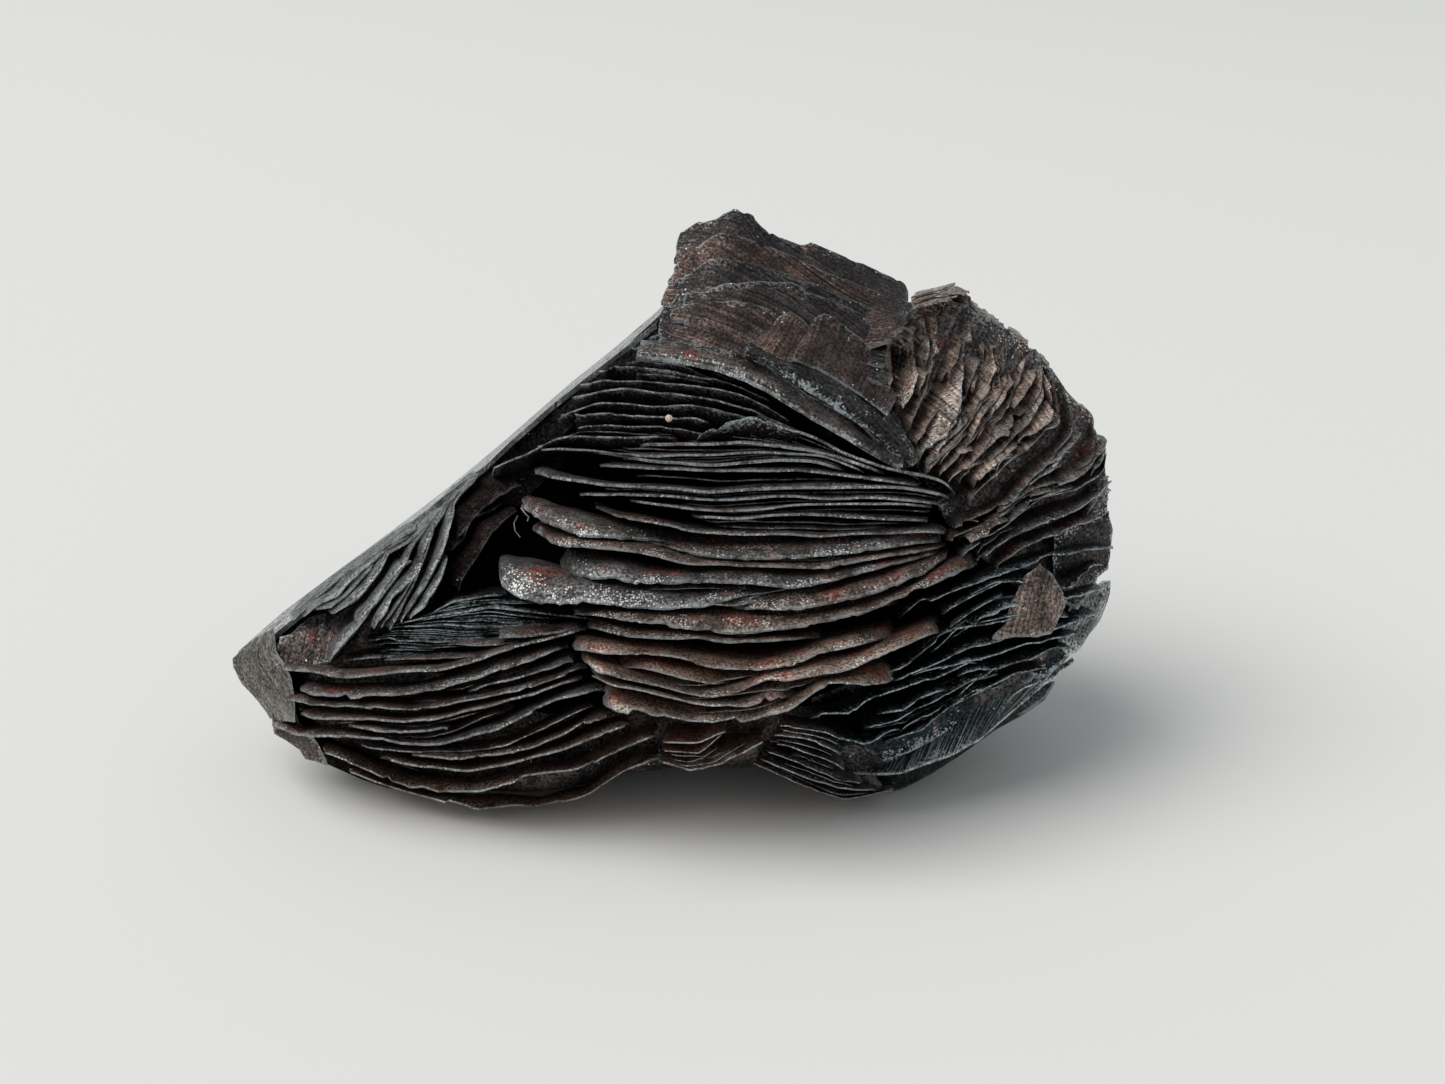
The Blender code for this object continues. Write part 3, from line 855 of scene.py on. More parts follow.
@dataclass
class Book:
    """A book of plates, read from its drawn outer edges, with a few thinner plates between them.

    A plate rolls from its drawn edge by the front vector, times its own face height, and then runs inwards
    with a small shift for each millimetre of depth. A face's height is a share of the room that it has
    before the next drawn edge.
    """

    name: str
    edges: list[Line]
    front: tuple[Place, Place]
    shift: tuple[Place, Place]
    finish: Finish
    seed: int
    roll: float = 0.8
    set_back: float = 0.0
    set_back_last: Optional[float] = None
    reach: float = 8.0
    corner: float = 2.0
    thickness: float = 0.15
    pitch: float = 3.0
    plates: int = 0
    splinters: int = 0
    fill: tuple[float, float] = (0.6, 0.95)
    most: float = 2.6
    alone: float = 1.0
    side: Side = Side.FRONT
    slot: Slot = Slot.HEMATITE
    between_back: tuple[float, float] = (0.5, 2.0)
    faces: dict[int, tuple[float, ...]] = field(default_factory=dict)
    chip: float = 0.04
    bite: float = 0.10
    column: float = 0.36
    near_points: int = 40

    def build(self) -> bpy.types.Object:
        """Builds the whole book as one piece.

        Returns:
            The book.
        """
        rng = np.random.default_rng(self.seed)
        lines = [self._drawn(edge) for edge in self.edges]
        if self.plates:
            shares = np.linspace(0.0, 1.0, self.plates)
            lines = [self._laid(lines[0], lines[-1], share, rng) for share in shares]
        rows = [self._with_heights(number, lines, rng) for number in range(len(lines))]
        bm = new_book()
        last = max(len(rows) - 1, 1)
        for number, row in enumerate(rows):
            thickness = self.thickness * rng.uniform(0.8, 1.3)
            self._plate(row, number / last, rng, 0.0, thickness).add_to(bm)
            if number < len(rows) - 1:
                self._add_between(bm, row, rows[number + 1], number, last, rng)
        for _ in range(self.splinters):
            self._add_splinter(bm, rows, rng)
        return finished_object(bm, self.name, self.finish.build())

    def _drawn(self, edge: Line) -> np.ndarray:
        """Rounds a drawn edge a little and spaces its points evenly."""
        points = spread(np.array(edge), self.near_points)[0]
        return spread(softened(points, 1), self.near_points)[0]

    def _laid(
        self, first: np.ndarray, last: np.ndarray, share: float, rng: np.random.Generator
    ) -> np.ndarray:
        """Lays an edge between two others, a little off its even place and broken back at both ends.

        Args:
            first: the book's first edge.
            last: the book's last edge.
            share: where the edge lies between them, from 0 to 1.
            rng: the source of chance.

        Returns:
            The edge's points.
        """
        share += rng.normal(0.0, 0.25) / self.plates
        start, end = rng.uniform(0.0, 0.14), 1.0 - rng.uniform(0.0, 0.14)
        line = first + (last - first) * share
        wave = np.sin(np.linspace(0.0, 3.0, len(line)) + rng.uniform(0.0, 6.3))
        line = line + wave[:, None] * rng.normal(0, 0.2, 2)
        places = np.linspace(start, end, len(line))
        whole = np.linspace(0.0, 1.0, len(line))
        return np.stack([np.interp(places, whole, line[:, k]) for k in range(2)], -1)

    def _add_splinter(self, bm: bmesh.types.BMesh, rows: list[np.ndarray], rng: np.random.Generator) -> None:
        """Adds a short broken plate somewhere between two drawn edges.

        Args:
            bm: the book's mesh.
            rows: the drawn edges.
            rng: the source of chance.
        """
        number = int(rng.integers(len(rows) - 1))
        share = rng.uniform(0.15, 0.85)
        row = rows[number] + (rows[number + 1] - rows[number]) * share
        first = int(rng.uniform(0.0, 0.85) * len(row))
        part = row[first:first + int(rng.uniform(0.12, 0.4) * len(row)) + 2]
        if len(part) < 4:
            return
        part = part + np.linspace(-1.0, 1.0, len(part))[:, None] * np.append(rng.normal(0.0, 0.25, 2), 0.0)
        part[:, 2] = rng.uniform(0.4, 1.0) * self.alone
        place = (number + share) / (len(rows) - 1)
        back, thickness = rng.uniform(-0.5, 0.6), self.thickness * rng.uniform(0.6, 1.0)
        self._plate(part, place, rng, back, thickness).add_to(bm)

    def _with_heights(self, number: int, lines: list[np.ndarray], rng: np.random.Generator) -> np.ndarray:
        """Gives each point of an edge the height of the face above it.

        Args:
            number: the edge's number.
            lines: all the book's edges.
            rng: the source of chance.

        Returns:
            The edge's points, with a height each.
        """
        line = lines[number]
        if number in self.faces:
            return np.column_stack([line, stretched(self.faces[number], len(line))])
        way = blended(self.front, number / max(len(lines) - 1, 1))
        others = [other for k, other in enumerate(lines) if k != number]
        room = room_to(line, others, tuple(way), self.most, self.alone)
        kernel = np.ones(5) / 5.0
        room = np.convolve(np.pad(room, 2, mode="edge"), kernel, mode="valid")
        filled = stretched(rng.uniform(*self.fill, 5), len(line))
        return np.column_stack([line, room * filled / max(float(np.hypot(*way)), 0.2)])

    def _add_between(
        self,
        bm: bmesh.types.BMesh,
        upper: np.ndarray,
        lower: np.ndarray,
        number: int,
        last: int,
        rng: np.random.Generator,
    ) -> None:
        """Adds the thinner plates between two drawn ones, as many as fit.

        Args:
            bm: the book's mesh.
            upper: the first drawn edge.
            lower: the next drawn edge.
            number: the first edge's number.
            last: the last edge's number.
            rng: the source of chance.
        """
        gap = float(np.mean(np.linalg.norm((lower - upper)[:, :2], axis=1)))
        count = int(round(gap / self.pitch)) - 1
        for k in range(max(count, 0)):
            share = (k + 1 + rng.uniform(-0.2, 0.2)) / (count + 1)
            row = upper + (lower - upper) * share
            first = int(rng.uniform(0.0, 0.3) * len(row))
            end = len(row) - int(rng.uniform(0.0, 0.3) * len(row))
            row[:, 2] *= rng.uniform(0.4, 0.9)
            back = rng.uniform(*self.between_back)
            thickness = self.thickness * rng.uniform(0.4, 0.7)
            self._plate(row[first:end], (number + share) / last, rng, back, thickness).add_to(bm)

    def _plate(
        self, row: np.ndarray, share: float, rng: np.random.Generator, back: float, thickness: float
    ) -> Plate:
        """Works out one plate from its outer edge.

        Args:
            row: the edge, as places in the view plane with a face height each.
            share: where the plate lies in the book, from 0 to 1.
            rng: the source of chance.
            back: how much further it is set back than the drawn plates.
            thickness: its thickness.

        Returns:
            The plate.
        """
        facing = self.side.value
        row, along = spread(row, self.near_points)
        to_end = np.minimum(along, along[-1] - along)
        held = np.minimum(to_end, self.corner)
        drop = self.corner - np.sqrt(self.corner**2 - (self.corner - held) ** 2)
        last = self.set_back if self.set_back_last is None else self.set_back_last
        held_back = self.set_back + (last - self.set_back) * share + back
        towards = BODY.skin(row[:, 0], row[:, 1], self.side) - facing * (held_back + drop)
        near = np.column_stack([row[:, :2], towards])
        behind = BODY.skin(row[:, 0], row[:, 1], Side(-facing))
        room = np.clip((facing * (towards - behind) + 1.0) / self.reach, 0.15, 1.0)
        heights = row[:, 2] * np.minimum(1.0, 0.35 + to_end / 1.2)
        shift = blended(self.shift, share) + rng.normal(0.0, 0.01, 2)
        return Plate(
            near, heights, room, tuple(blended(self.front, share)), self.roll, (*shift, -float(facing)),
            self.reach, thickness, int(rng.integers(1 << 30)), self.chip, self.bite, column=self.column,
        )


@dataclass
class BackBook(Book):
    """A book on the back, where the plates between the first edge and the last follow from these two."""

    side: Side = Side.BACK
    pitch: float = 0.7
    column: float = 0.55
    bite: float = 0.3
    between_back: tuple[float, float] = (0.1, 0.6)


@dataclass
class BroadPlate:
    """A broad plate seen on its face, between two drawn lines with a depth along each."""

    name: str
    near: Line
    near_depths: tuple[float, ...]
    far: Line
    far_depths: tuple[float, ...]
    finish: Finish
    seed: int
    thickness: float = 0.5
    slot: Slot = Slot.HEMATITE
    bite: float = 0.3
    rows: int = 26
    column: float = 0.3
    bulge: float = 0.0
    ragged: float = 1.0
    points: int = 80

    def build(self) -> bpy.types.Object:
        """Builds the plate.

        Returns:
            The piece.
        """
        rng = np.random.default_rng(self.seed)
        lines = []
        for points, depths in ((self.near, self.near_depths), (self.far, self.far_depths)):
            row, along = spread(np.array(points), self.points)
            towards = np.interp(along, np.linspace(0.0, along[-1], len(depths)), depths)
            lines.append(np.column_stack([row, towards]))
        columns = int(max(along[-1] / self.column, 8))
        shares = np.linspace(0.0, 1.0, self.rows)
        steps = np.linspace(0.0, 1.0, columns + 1)
        run = float(np.mean(np.linalg.norm(lines[1] - lines[0], axis=1)))
        cuts = [
            broken(rng, shares * run, 1.1, self.bite * 0.8) + broken(rng, shares * run, 3.0, self.bite)
            for _ in range(2)
        ]
        start, end = self.ragged * cuts[0] / along[-1], 1.0 - cuts[1] / along[-1]
        where = start[None, :] + steps[:, None] * (end - start)[None, :]
        places_along = steps * along[-1]
        edge = [
            broken(rng, places_along, 0.9, self.bite * 0.5) + broken(rng, places_along, 2.6, self.bite * 0.8)
            for _ in range(2)
        ]
        low, high = edge[0][:, None] / run, 1.0 - edge[1][:, None] / run
        depth = low + shares[None, :] * (high - low)
        whole = np.linspace(0.0, 1.0, self.points)
        near, far = (
            np.stack([np.interp(where, whole, line[:, k]) for k in range(3)], -1) for line in lines
        )
        places = near + (far - near) * depth[..., None]
        to_ends = np.minimum(steps, 1.0 - steps)[:, None] * along[-1]
        rim = np.minimum(np.minimum(shares, 1.0 - shares)[None, :] * run, to_ends)
        places[..., 2] += 4.0 * self.bulge * (depth * (1.0 - depth))
        places += RIPPLE.height(places)[..., None] * np.array([0.0, 0.0, 1.5])
        bm = new_book()
        Sheet(places, where * along[-1], depth * run, rim, rng.uniform(), self.thickness).add_to(bm)
        return finished_object(bm, self.name, self.finish.build())


@dataclass
class CrownLedge(BroadPlate):
    """A ledge of the crown, which is ragged at its left side."""

    thickness: float = 0.3
    bite: float = 0.2
    rows: int = 30
    ragged: float = 3.0


@dataclass
class Mass:
    """A closed mass behind the plates, which fills the gaps between them."""

    name: str
    finish: Finish | PlainFinish
    share: float
    front_share: float
    back_share: float
    step: float = 0.0
    step_height: float = 0.0
    steepness: Place = (0.5, 0.8)
    wave: float = 0.6
    wave_run: Place = (0.35, 0.2)
    flank_gap: float = 1.6
    subdivisions: int = 5

    def build(self) -> bpy.types.Object:
        """Builds the mass as a sphere drawn out to the outline and the domes, in steps like broken plates.

        Returns:
            The piece.
        """
        bm = new_book()
        bmesh.ops.create_icosphere(bm, subdivisions=self.subdivisions, radius=1.0)
        lay, edge = bm.verts.layers.float_vector["lay"], bm.verts.layers.float["rim"]
        for vertex in bm.verts:
            angle = math.atan2(vertex.co.z, vertex.co.x)
            out = math.hypot(vertex.co.x, vertex.co.z) * float(BODY.radius(angle)) * self.share
            across = BODY.middle[0] + out * math.cos(angle)
            up = BODY.middle[1] + out * math.sin(angle)
            across, up = BODY.behind_flank(across, up, self.flank_gap)
            front = vertex.co.y < 0
            depth = BODY.front_depth * self.front_share if front else BODY.back_depth * self.back_share
            climb = 0.0
            if self.step and not front:
                wave = self.wave * math.sin(self.wave_run[0] * across + self.wave_run[1] * up)
                turns = (across * self.steepness[0] + up * self.steepness[1] + wave) / self.step
                climb = self.step_height * (turns - math.floor(turns)) * min(1.0, 3.0 * vertex.co.y)
                vertex[edge] = (1.0 - turns + math.floor(turns)) * self.step
            vertex[lay] = (across, up, 0.5 + 0.5 * math.sin(up))
            place = VIEW.in_the_round(np.array([across, up, BODY.lean * up - vertex.co.y * depth - climb]))
            vertex.co = (place[0], place[1], max(place[2], 0.0))
        bmesh.ops.recalc_face_normals(bm, faces=bm.faces)
        return finished_object(bm, self.name, self.finish.build())


# The masses behind the plates; the inner one is near black, painted shade for the deep gaps between the
# plates
MASSES = [
    Mass("inner_mass", PAINTED_SHADE_CORE, 0.87, 0.30, 0.62),
    Mass("back_mass", BACK_FACE, 0.925, 0.28, 0.90, step=1.1, step_height=0.6, subdivisions=6),
]

# The drawn outer edges of the plates, book by book, in millimetres of the view
UPPER_EDGES = [
    [(-2.2, 13.7), (-1.0, 14.4), (1.9, 14.2), (4.0, 14.1), (6.0, 13.4)],
    [(-4.4, 13.1), (-3.0, 13.6), (-1.8, 13.5), (1.9, 13.1), (5.3, 12.7), (6.5, 12.3), (7.8, 11.4),
     (9.4, 9.9), (12.0, 8.6), (14.6, 7.1), (16.6, 5.2), (18.8, 3.6)],
    [(-6.2, 11.2), (-5.4, 11.4), (-4.5, 11.8), (-3.0, 11.8), (-0.9, 11.6), (1.4, 11.1), (3.5, 10.6)],
    [(-7.9, 10.1), (-6.4, 10.3), (-5.6, 10.5), (-3.0, 10.6), (1.4, 10.3), (4.2, 9.8), (5.9, 9.2),
     (7.1, 8.5), (9.5, 7.0)],
    [(-8.1, 9.0), (-7.0, 9.2), (-4.1, 9.9), (0.0, 9.6), (3.6, 9.0), (6.5, 8.0), (8.5, 6.8)],
    [(-9.3, 7.7), (-8.0, 8.0), (-7.0, 8.3), (-6.0, 8.6), (-4.1, 8.6), (1.9, 8.7), (3.7, 8.4), (5.0, 7.9),
     (7.5, 6.6)],
    [(-7.9, 7.6), (-4.8, 7.8), (-0.9, 7.7), (1.9, 7.7), (3.1, 7.1)],
    [(-7.8, 6.4), (-4.8, 6.8), (-0.9, 6.9), (1.0, 6.7), (2.2, 6.4), (4.5, 6.3)],
    [(-14.6, 3.3), (-13.0, 4.2), (-11.7, 4.6), (-10.0, 5.4), (-9.0, 5.7), (-4.1, 5.9), (-1.0, 6.1),
     (1.4, 5.9)],
]
LENS_EDGES = [[(1.9, 6.1), (3.2, 7.0), (4.9, 7.6), (6.4, 7.8), (8.0, 7.3), (9.5, 6.6), (10.4, 6.2)]]
CENTRE_EDGES = [
    [(6.4, 7.7), (8.2, 7.0), (11.3, 5.7), (13.6, 4.4), (16.9, 3.4), (20.1, 2.7), (21.7, 2.2), (22.6, 1.3)],
    [(-2.7, 5.3), (0.7, 5.5), (5.4, 5.6), (9.0, 5.1), (13.1, 4.1), (17.0, 2.9)],
    [(-10.9, 4.8), (-5.8, 4.5), (-2.4, 4.3), (2.0, 4.6), (7.7, 4.7), (12.0, 4.2), (15.5, 2.9)],
    [(-4.1, 4.2), (0.0, 3.9), (3.7, 3.8), (8.5, 4.1), (11.3, 3.8), (14.0, 3.0)],
    [(-6.0, 3.4), (1.9, 3.4), (6.0, 3.2), (9.9, 3.1), (13.4, 2.7), (18.1, 2.1), (20.0, 1.8)],
    [(-11.1, 3.0), (-8.8, 2.2), (-5.4, 1.9), (0.0, 1.8), (3.0, 1.6), (7.4, 1.8), (12.0, 1.7), (18.1, 1.8),
     (21.4, 1.2), (22.3, 0.9)],
    [(-7.6, 1.1), (0.0, 1.1), (4.2, 0.9), (8.4, 1.2), (12.0, 0.8), (16.0, 0.9), (21.4, 0.4)],
    [(-3.5, 0.7), (-0.9, 0.3), (4.2, 0.0), (9.9, 0.4), (14.0, 0.5), (18.1, 0.4), (20.8, 0.2)],
    [(1.4, -0.3), (5.0, -0.6), (7.8, -0.3), (13.1, -0.5), (18.1, -0.8), (20.6, -0.9)],
    [(-6.2, 0.2), (-4.2, -0.8), (0.0, -1.4), (3.6, -1.9), (6.0, -1.9), (9.0, -1.9), (11.6, -2.1),
     (15.2, -1.9), (20.0, -1.8), (22.0, -1.9)],
]
LOWER_EDGES = [
    [(-12.2, 0.4), (-10.9, -0.8), (-8.8, -1.8), (-6.2, -2.2), (-3.0, -2.6), (0.0, -2.4)],
    [(-1.0, -2.9), (1.0, -3.5), (3.7, -4.0), (8.5, -3.9), (13.1, -3.6), (17.4, -3.0), (22.0, -2.5)],
    [(-11.2, -1.6), (-10.3, -2.6), (-7.0, -3.2), (-3.0, -3.7), (1.6, -4.5), (6.5, -4.4), (12.0, -4.7),
     (15.2, -4.0), (22.0, -2.9)],
    [(-9.0, -5.3), (-6.4, -5.8), (-1.8, -6.2), (3.7, -6.0), (7.0, -5.9), (8.7, -6.5), (10.6, -6.3),
     (14.9, -5.1), (20.0, -3.7), (21.6, -3.4)],
    [(-13.9, -4.3), (-13.8, -6.2), (-12.0, -7.5), (-9.0, -7.8), (-3.0, -8.0), (2.5, -8.2), (3.7, -7.6),
     (6.0, -6.8), (7.8, -6.6)],
    [(4.1, -8.1), (6.2, -7.9), (10.0, -8.0), (13.1, -7.4), (17.2, -6.3), (20.1, -5.1), (22.3, -3.5)],
    [(-8.1, -8.2), (-5.0, -8.6), (-1.0, -9.4), (3.0, -10.0), (6.8, -10.3), (10.0, -9.9), (14.0, -8.7),
     (19.1, -6.6), (24.5, -4.7)],
    [(-7.0, -9.3), (-3.0, -10.3), (3.0, -10.6), (7.8, -10.7), (12.0, -10.2)],
]
LOW_EDGES = [
    [(-8.2, -11.0), (-6.4, -11.4), (-1.0, -11.9), (4.2, -12.8), (6.8, -13.2), (10.0, -12.6),
     (12.0, -11.6), (16.2, -10.5), (17.7, -9.9)],
    [(-4.5, -12.3), (-0.9, -13.1), (3.0, -13.9), (5.5, -14.2)],
    [(-7.3, -11.8), (-6.4, -12.9), (-3.0, -13.8), (1.9, -14.9), (5.6, -14.8), (9.1, -13.9), (14.0, -13.1),
     (18.1, -11.1), (21.5, -9.6)],
    [(-6.6, -13.1), (-4.8, -14.0), (-1.0, -14.7), (3.0, -15.6), (5.6, -15.9), (8.4, -15.2), (10.5, -15.3)],
    [(-5.7, -15.5), (-4.8, -16.2), (-1.0, -16.7), (5.7, -17.0), (9.4, -16.2), (11.6, -14.9),
     (16.8, -14.0), (17.7, -13.3)],
]
LEFT_EDGES = [
    [(-14.3, -10.3), (-12.2, -10.1), (-9.0, -9.7), (-7.1, -9.3)],
    [(-31.5, -12.9), (-25.0, -13.3), (-18.2, -12.9), (-15.1, -12.0), (-11.0, -10.5), (-6.7, -9.4)],
    [(-29.8, -14.6), (-27.8, -15.0), (-20.9, -14.9), (-15.9, -13.8), (-12.0, -12.5), (-8.2, -11.0)],
    [(-16.5, -14.7), (-13.1, -14.1), (-9.7, -12.9), (-7.6, -12.2)],
    [(-31.2, -15.5), (-25.0, -15.9), (-20.9, -16.2), (-16.0, -15.5), (-12.0, -14.7), (-7.6, -13.0),
     (-6.8, -12.8)],
    [(-29.9, -16.4), (-29.3, -16.9), (-22.0, -16.8), (-17.4, -16.5), (-11.8, -15.2), (-7.0, -13.4)],
    [(-26.0, -17.2), (-23.5, -17.6), (-19.7, -17.6), (-17.7, -17.3)],
    [(-32.1, -17.4), (-29.9, -18.4), (-25.0, -18.3), (-18.5, -18.7), (-14.2, -17.8), (-10.3, -16.0),
     (-7.9, -14.9), (-5.4, -14.3)],
    [(-21.0, -19.3), (-18.0, -19.8), (-14.2, -19.9), (-11.0, -19.5), (-8.1, -18.2), (-5.0, -16.4)],
    [(-23.5, -20.0), (-16.6, -20.9), (-12.6, -20.3), (-9.0, -19.6), (-5.4, -18.1), (-3.2, -17.2)],
    [(-28.1, -19.6), (-25.0, -20.7), (-20.8, -22.3), (-16.0, -22.6), (-11.6, -21.7), (-7.9, -21.4),
     (-3.9, -19.1), (-1.1, -17.8)],
    [(-26.0, -21.0), (-22.0, -22.2), (-16.2, -23.8), (-10.7, -24.1), (-6.7, -23.0), (-3.9, -21.1),
     (-1.0, -19.8)],
]
FAN_EDGES = [
    [(-19.8, -8.7), (-17.4, -7.3), (-14.3, -6.8), (-13.0, -6.8)],
    [(-22.3, -9.2), (-18.2, -8.5), (-13.9, -7.8), (-7.9, -8.4), (-5.4, -8.9)],
    [(-22.8, -9.5), (-18.2, -9.4), (-14.3, -9.6), (-9.0, -9.4)],
    [(-24.7, -10.3), (-19.0, -10.8), (-14.0, -10.7)],
    [(-26.5, -11.8), (-21.0, -12.0), (-16.0, -11.6)],
]
FLANK_EDGES = [
    [(-30.4, -8.9), (-28.8, -7.2), (-27.2, -5.9), (-25.5, -4.8), (-23.4, -3.5), (-20.2, -1.3)],
    [(-29.7, -8.6), (-28.2, -7.6), (-26.6, -7.0), (-25.6, -5.8), (-24.3, -4.7), (-22.8, -3.3),
     (-20.8, -2.0)],
    [(-28.7, -8.0), (-27.2, -7.8), (-26.0, -6.9), (-24.7, -5.7), (-23.6, -4.2)],
    [(-27.3, -8.3), (-26.0, -7.7), (-25.0, -7.1), (-24.3, -6.3), (-23.2, -4.9), (-22.6, -3.4),
     (-21.1, -2.6), (-19.6, -1.2), (-18.3, 0.4)],
    [(-27.6, -12.1), (-26.0, -10.3), (-24.4, -8.5), (-22.8, -6.4), (-21.6, -4.8), (-20.6, -4.0)],
    [(-25.2, -9.1), (-23.5, -7.4), (-22.3, -5.9), (-21.1, -4.3), (-20.6, -2.8), (-19.8, -1.7),
     (-18.6, 0.2)],
    [(-24.0, -9.7), (-22.6, -8.0), (-21.4, -6.3), (-20.3, -5.2), (-19.7, -3.6), (-19.4, -2.2),
     (-18.7, -0.5), (-17.9, 0.4)],
    [(-23.4, -9.6), (-22.0, -7.9), (-20.9, -6.0), (-20.0, -4.4), (-19.6, -2.6), (-18.9, -1.0),
     (-18.0, 0.8)],
    [(-22.6, -9.7), (-21.4, -7.7), (-20.5, -5.7), (-19.8, -3.9), (-19.1, -1.6), (-18.2, 0.0),
     (-17.4, 1.2), (-16.9, 1.8)],
    [(-21.8, -9.3), (-20.3, -7.2), (-19.5, -5.9), (-18.9, -4.6), (-18.3, -3.4), (-17.9, -1.9),
     (-17.5, -0.5), (-17.5, 0.5), (-16.6, 1.7), (-15.4, 2.9)],
    [(-21.0, -8.8), (-19.8, -7.9), (-18.9, -6.6), (-18.2, -5.2), (-17.9, -3.6)],
]
DARK_WALL_EDGES = [
    [(-17.9, -3.6), (-16.8, -2.4), (-16.0, -1.0), (-15.0, 0.3), (-13.4, 1.2), (-11.8, 2.0)],
    [(-17.2, -2.6), (-15.9, -0.7), (-14.6, 0.0), (-13.6, 0.6)],
    [(-17.0, -6.6), (-16.0, -4.4), (-14.6, -1.9), (-13.4, -0.7), (-12.3, 0.0)],
]
RIGHT_EDGES = [
    [(17.0, 8.3), (17.5, 9.7), (18.0, 11.5), (18.2, 13.6)],
    [(18.6, 7.3), (19.5, 9.3), (19.8, 11.8), (19.6, 14.6)],
    [(19.1, 6.3), (20.2, 8.5), (21.2, 10.9), (22.0, 13.0), (21.8, 15.8)],
    [(20.1, 3.1), (22.2, 5.7), (23.3, 7.4), (24.0, 10.0), (24.2, 13.0), (23.6, 17.0)],
    [(20.3, 2.6), (22.7, 5.4), (24.8, 8.5), (26.0, 10.5), (25.6, 13.6), (25.2, 15.8)],
    [(21.4, 2.4), (23.8, 5.1), (25.2, 7.4), (27.0, 10.0), (27.3, 12.0), (26.9, 14.6)],
    [(22.1, 1.8), (24.6, 4.2), (27.0, 7.0), (28.2, 10.6), (28.7, 12.3), (28.4, 13.6)],
    [(24.1, 1.6), (25.8, 3.9), (28.8, 7.0), (29.9, 9.0), (29.9, 11.8)],
    [(24.0, 0.2), (26.8, 3.7), (29.7, 5.4), (31.1, 6.8), (30.8, 8.5), (30.3, 11.3)],
]
RIGHT_FOOT_EDGES = [
    [(23.0, -1.6), (26.0, -0.4), (28.5, 1.2), (30.5, 3.9), (32.0, 5.7), (32.2, 6.5), (31.5, 9.9)],
    [(22.1, -2.8), (25.5, -1.3), (29.1, 1.5), (31.6, 2.2), (33.9, 3.9), (33.9, 5.4), (33.3, 7.8)],
    [(23.2, -4.0), (26.4, -1.9), (29.7, 0.8), (32.5, 1.8), (34.6, 3.0), (34.8, 5.0)],
    [(24.5, -4.6), (27.3, -2.4), (30.5, -1.1), (33.9, 0.9), (35.2, 2.4)],
    [(26.0, -5.4), (29.0, -3.2), (31.9, -1.6), (34.8, -0.4)],
]
SWEEP_EDGES = [
    [(18.1, -8.7), (20.0, -7.9), (22.3, -7.2), (25.6, -5.9), (29.0, -4.6), (33.0, -3.4), (35.5, -3.0)],
    [(21.5, -8.5), (24.1, -7.3), (27.0, -6.0), (31.7, -6.8), (34.8, -4.6)],
    [(20.4, -11.3), (23.0, -10.0), (26.9, -8.2), (30.5, -7.6), (34.6, -6.4)],
    [(13.8, -14.4), (16.2, -14.1), (17.9, -12.9), (19.4, -11.8), (20.8, -10.6), (24.4, -9.6), (31.5, -8.6)],
    [(17.5, -13.6), (19.2, -12.9), (22.6, -11.7), (26.2, -11.2), (30.5, -10.1), (34.2, -8.6)],
    [(11.0, -17.1), (13.7, -16.9), (15.0, -16.5), (16.4, -15.5), (18.2, -14.8), (20.2, -13.9),
     (22.3, -13.3), (24.0, -12.5), (26.0, -11.9), (28.2, -11.0), (33.0, -10.4)],
    [(16.4, -16.5), (18.6, -16.1), (19.6, -14.9), (22.0, -14.2)],
    [(15.3, -17.9), (18.0, -17.0), (20.8, -15.4), (23.3, -14.2), (26.7, -12.8), (28.7, -12.7),
     (31.0, -11.6), (32.4, -11.6)],
    [(11.9, -18.2), (13.6, -19.0), (15.4, -19.2), (17.0, -18.1), (18.4, -17.6)],
    [(16.6, -18.8), (20.0, -18.0), (22.3, -15.9), (25.0, -14.4), (27.4, -13.2), (30.0, -12.8)],
]
FOOT_EDGES = [
    [(-0.9, -18.5), (2.2, -18.5), (4.4, -17.6)],
    [(-1.0, -19.2), (2.1, -19.3), (4.0, -17.8)],
    [(-1.1, -20.0), (1.4, -21.0), (3.7, -20.4), (7.4, -18.5)],
]
STRAIGHT_EDGES = [
    [(8.4, -17.4), (11.0, -17.9), (13.6, -18.7)],
    [(8.0, -18.2), (10.0, -18.6), (12.0, -19.2), (13.5, -19.8)],
    [(7.6, -18.8), (11.0, -20.0), (13.9, -21.0)],
    [(7.4, -19.3), (9.9, -20.4), (12.6, -21.5), (15.2, -22.2)],
    [(7.0, -19.8), (10.5, -21.4), (13.2, -22.5), (16.4, -22.6)],
    [(6.4, -20.1), (10.0, -22.0), (13.6, -23.3), (17.7, -22.5)],
]
PALE_BOOK_EDGES = [
    [(19.0, 17.1), (21.0, 17.5), (22.7, 18.1)],
    [(19.0, 16.7), (21.3, 17.2), (24.1, 17.5)],
    [(19.0, 16.3), (21.0, 16.6), (22.8, 17.2)],
]

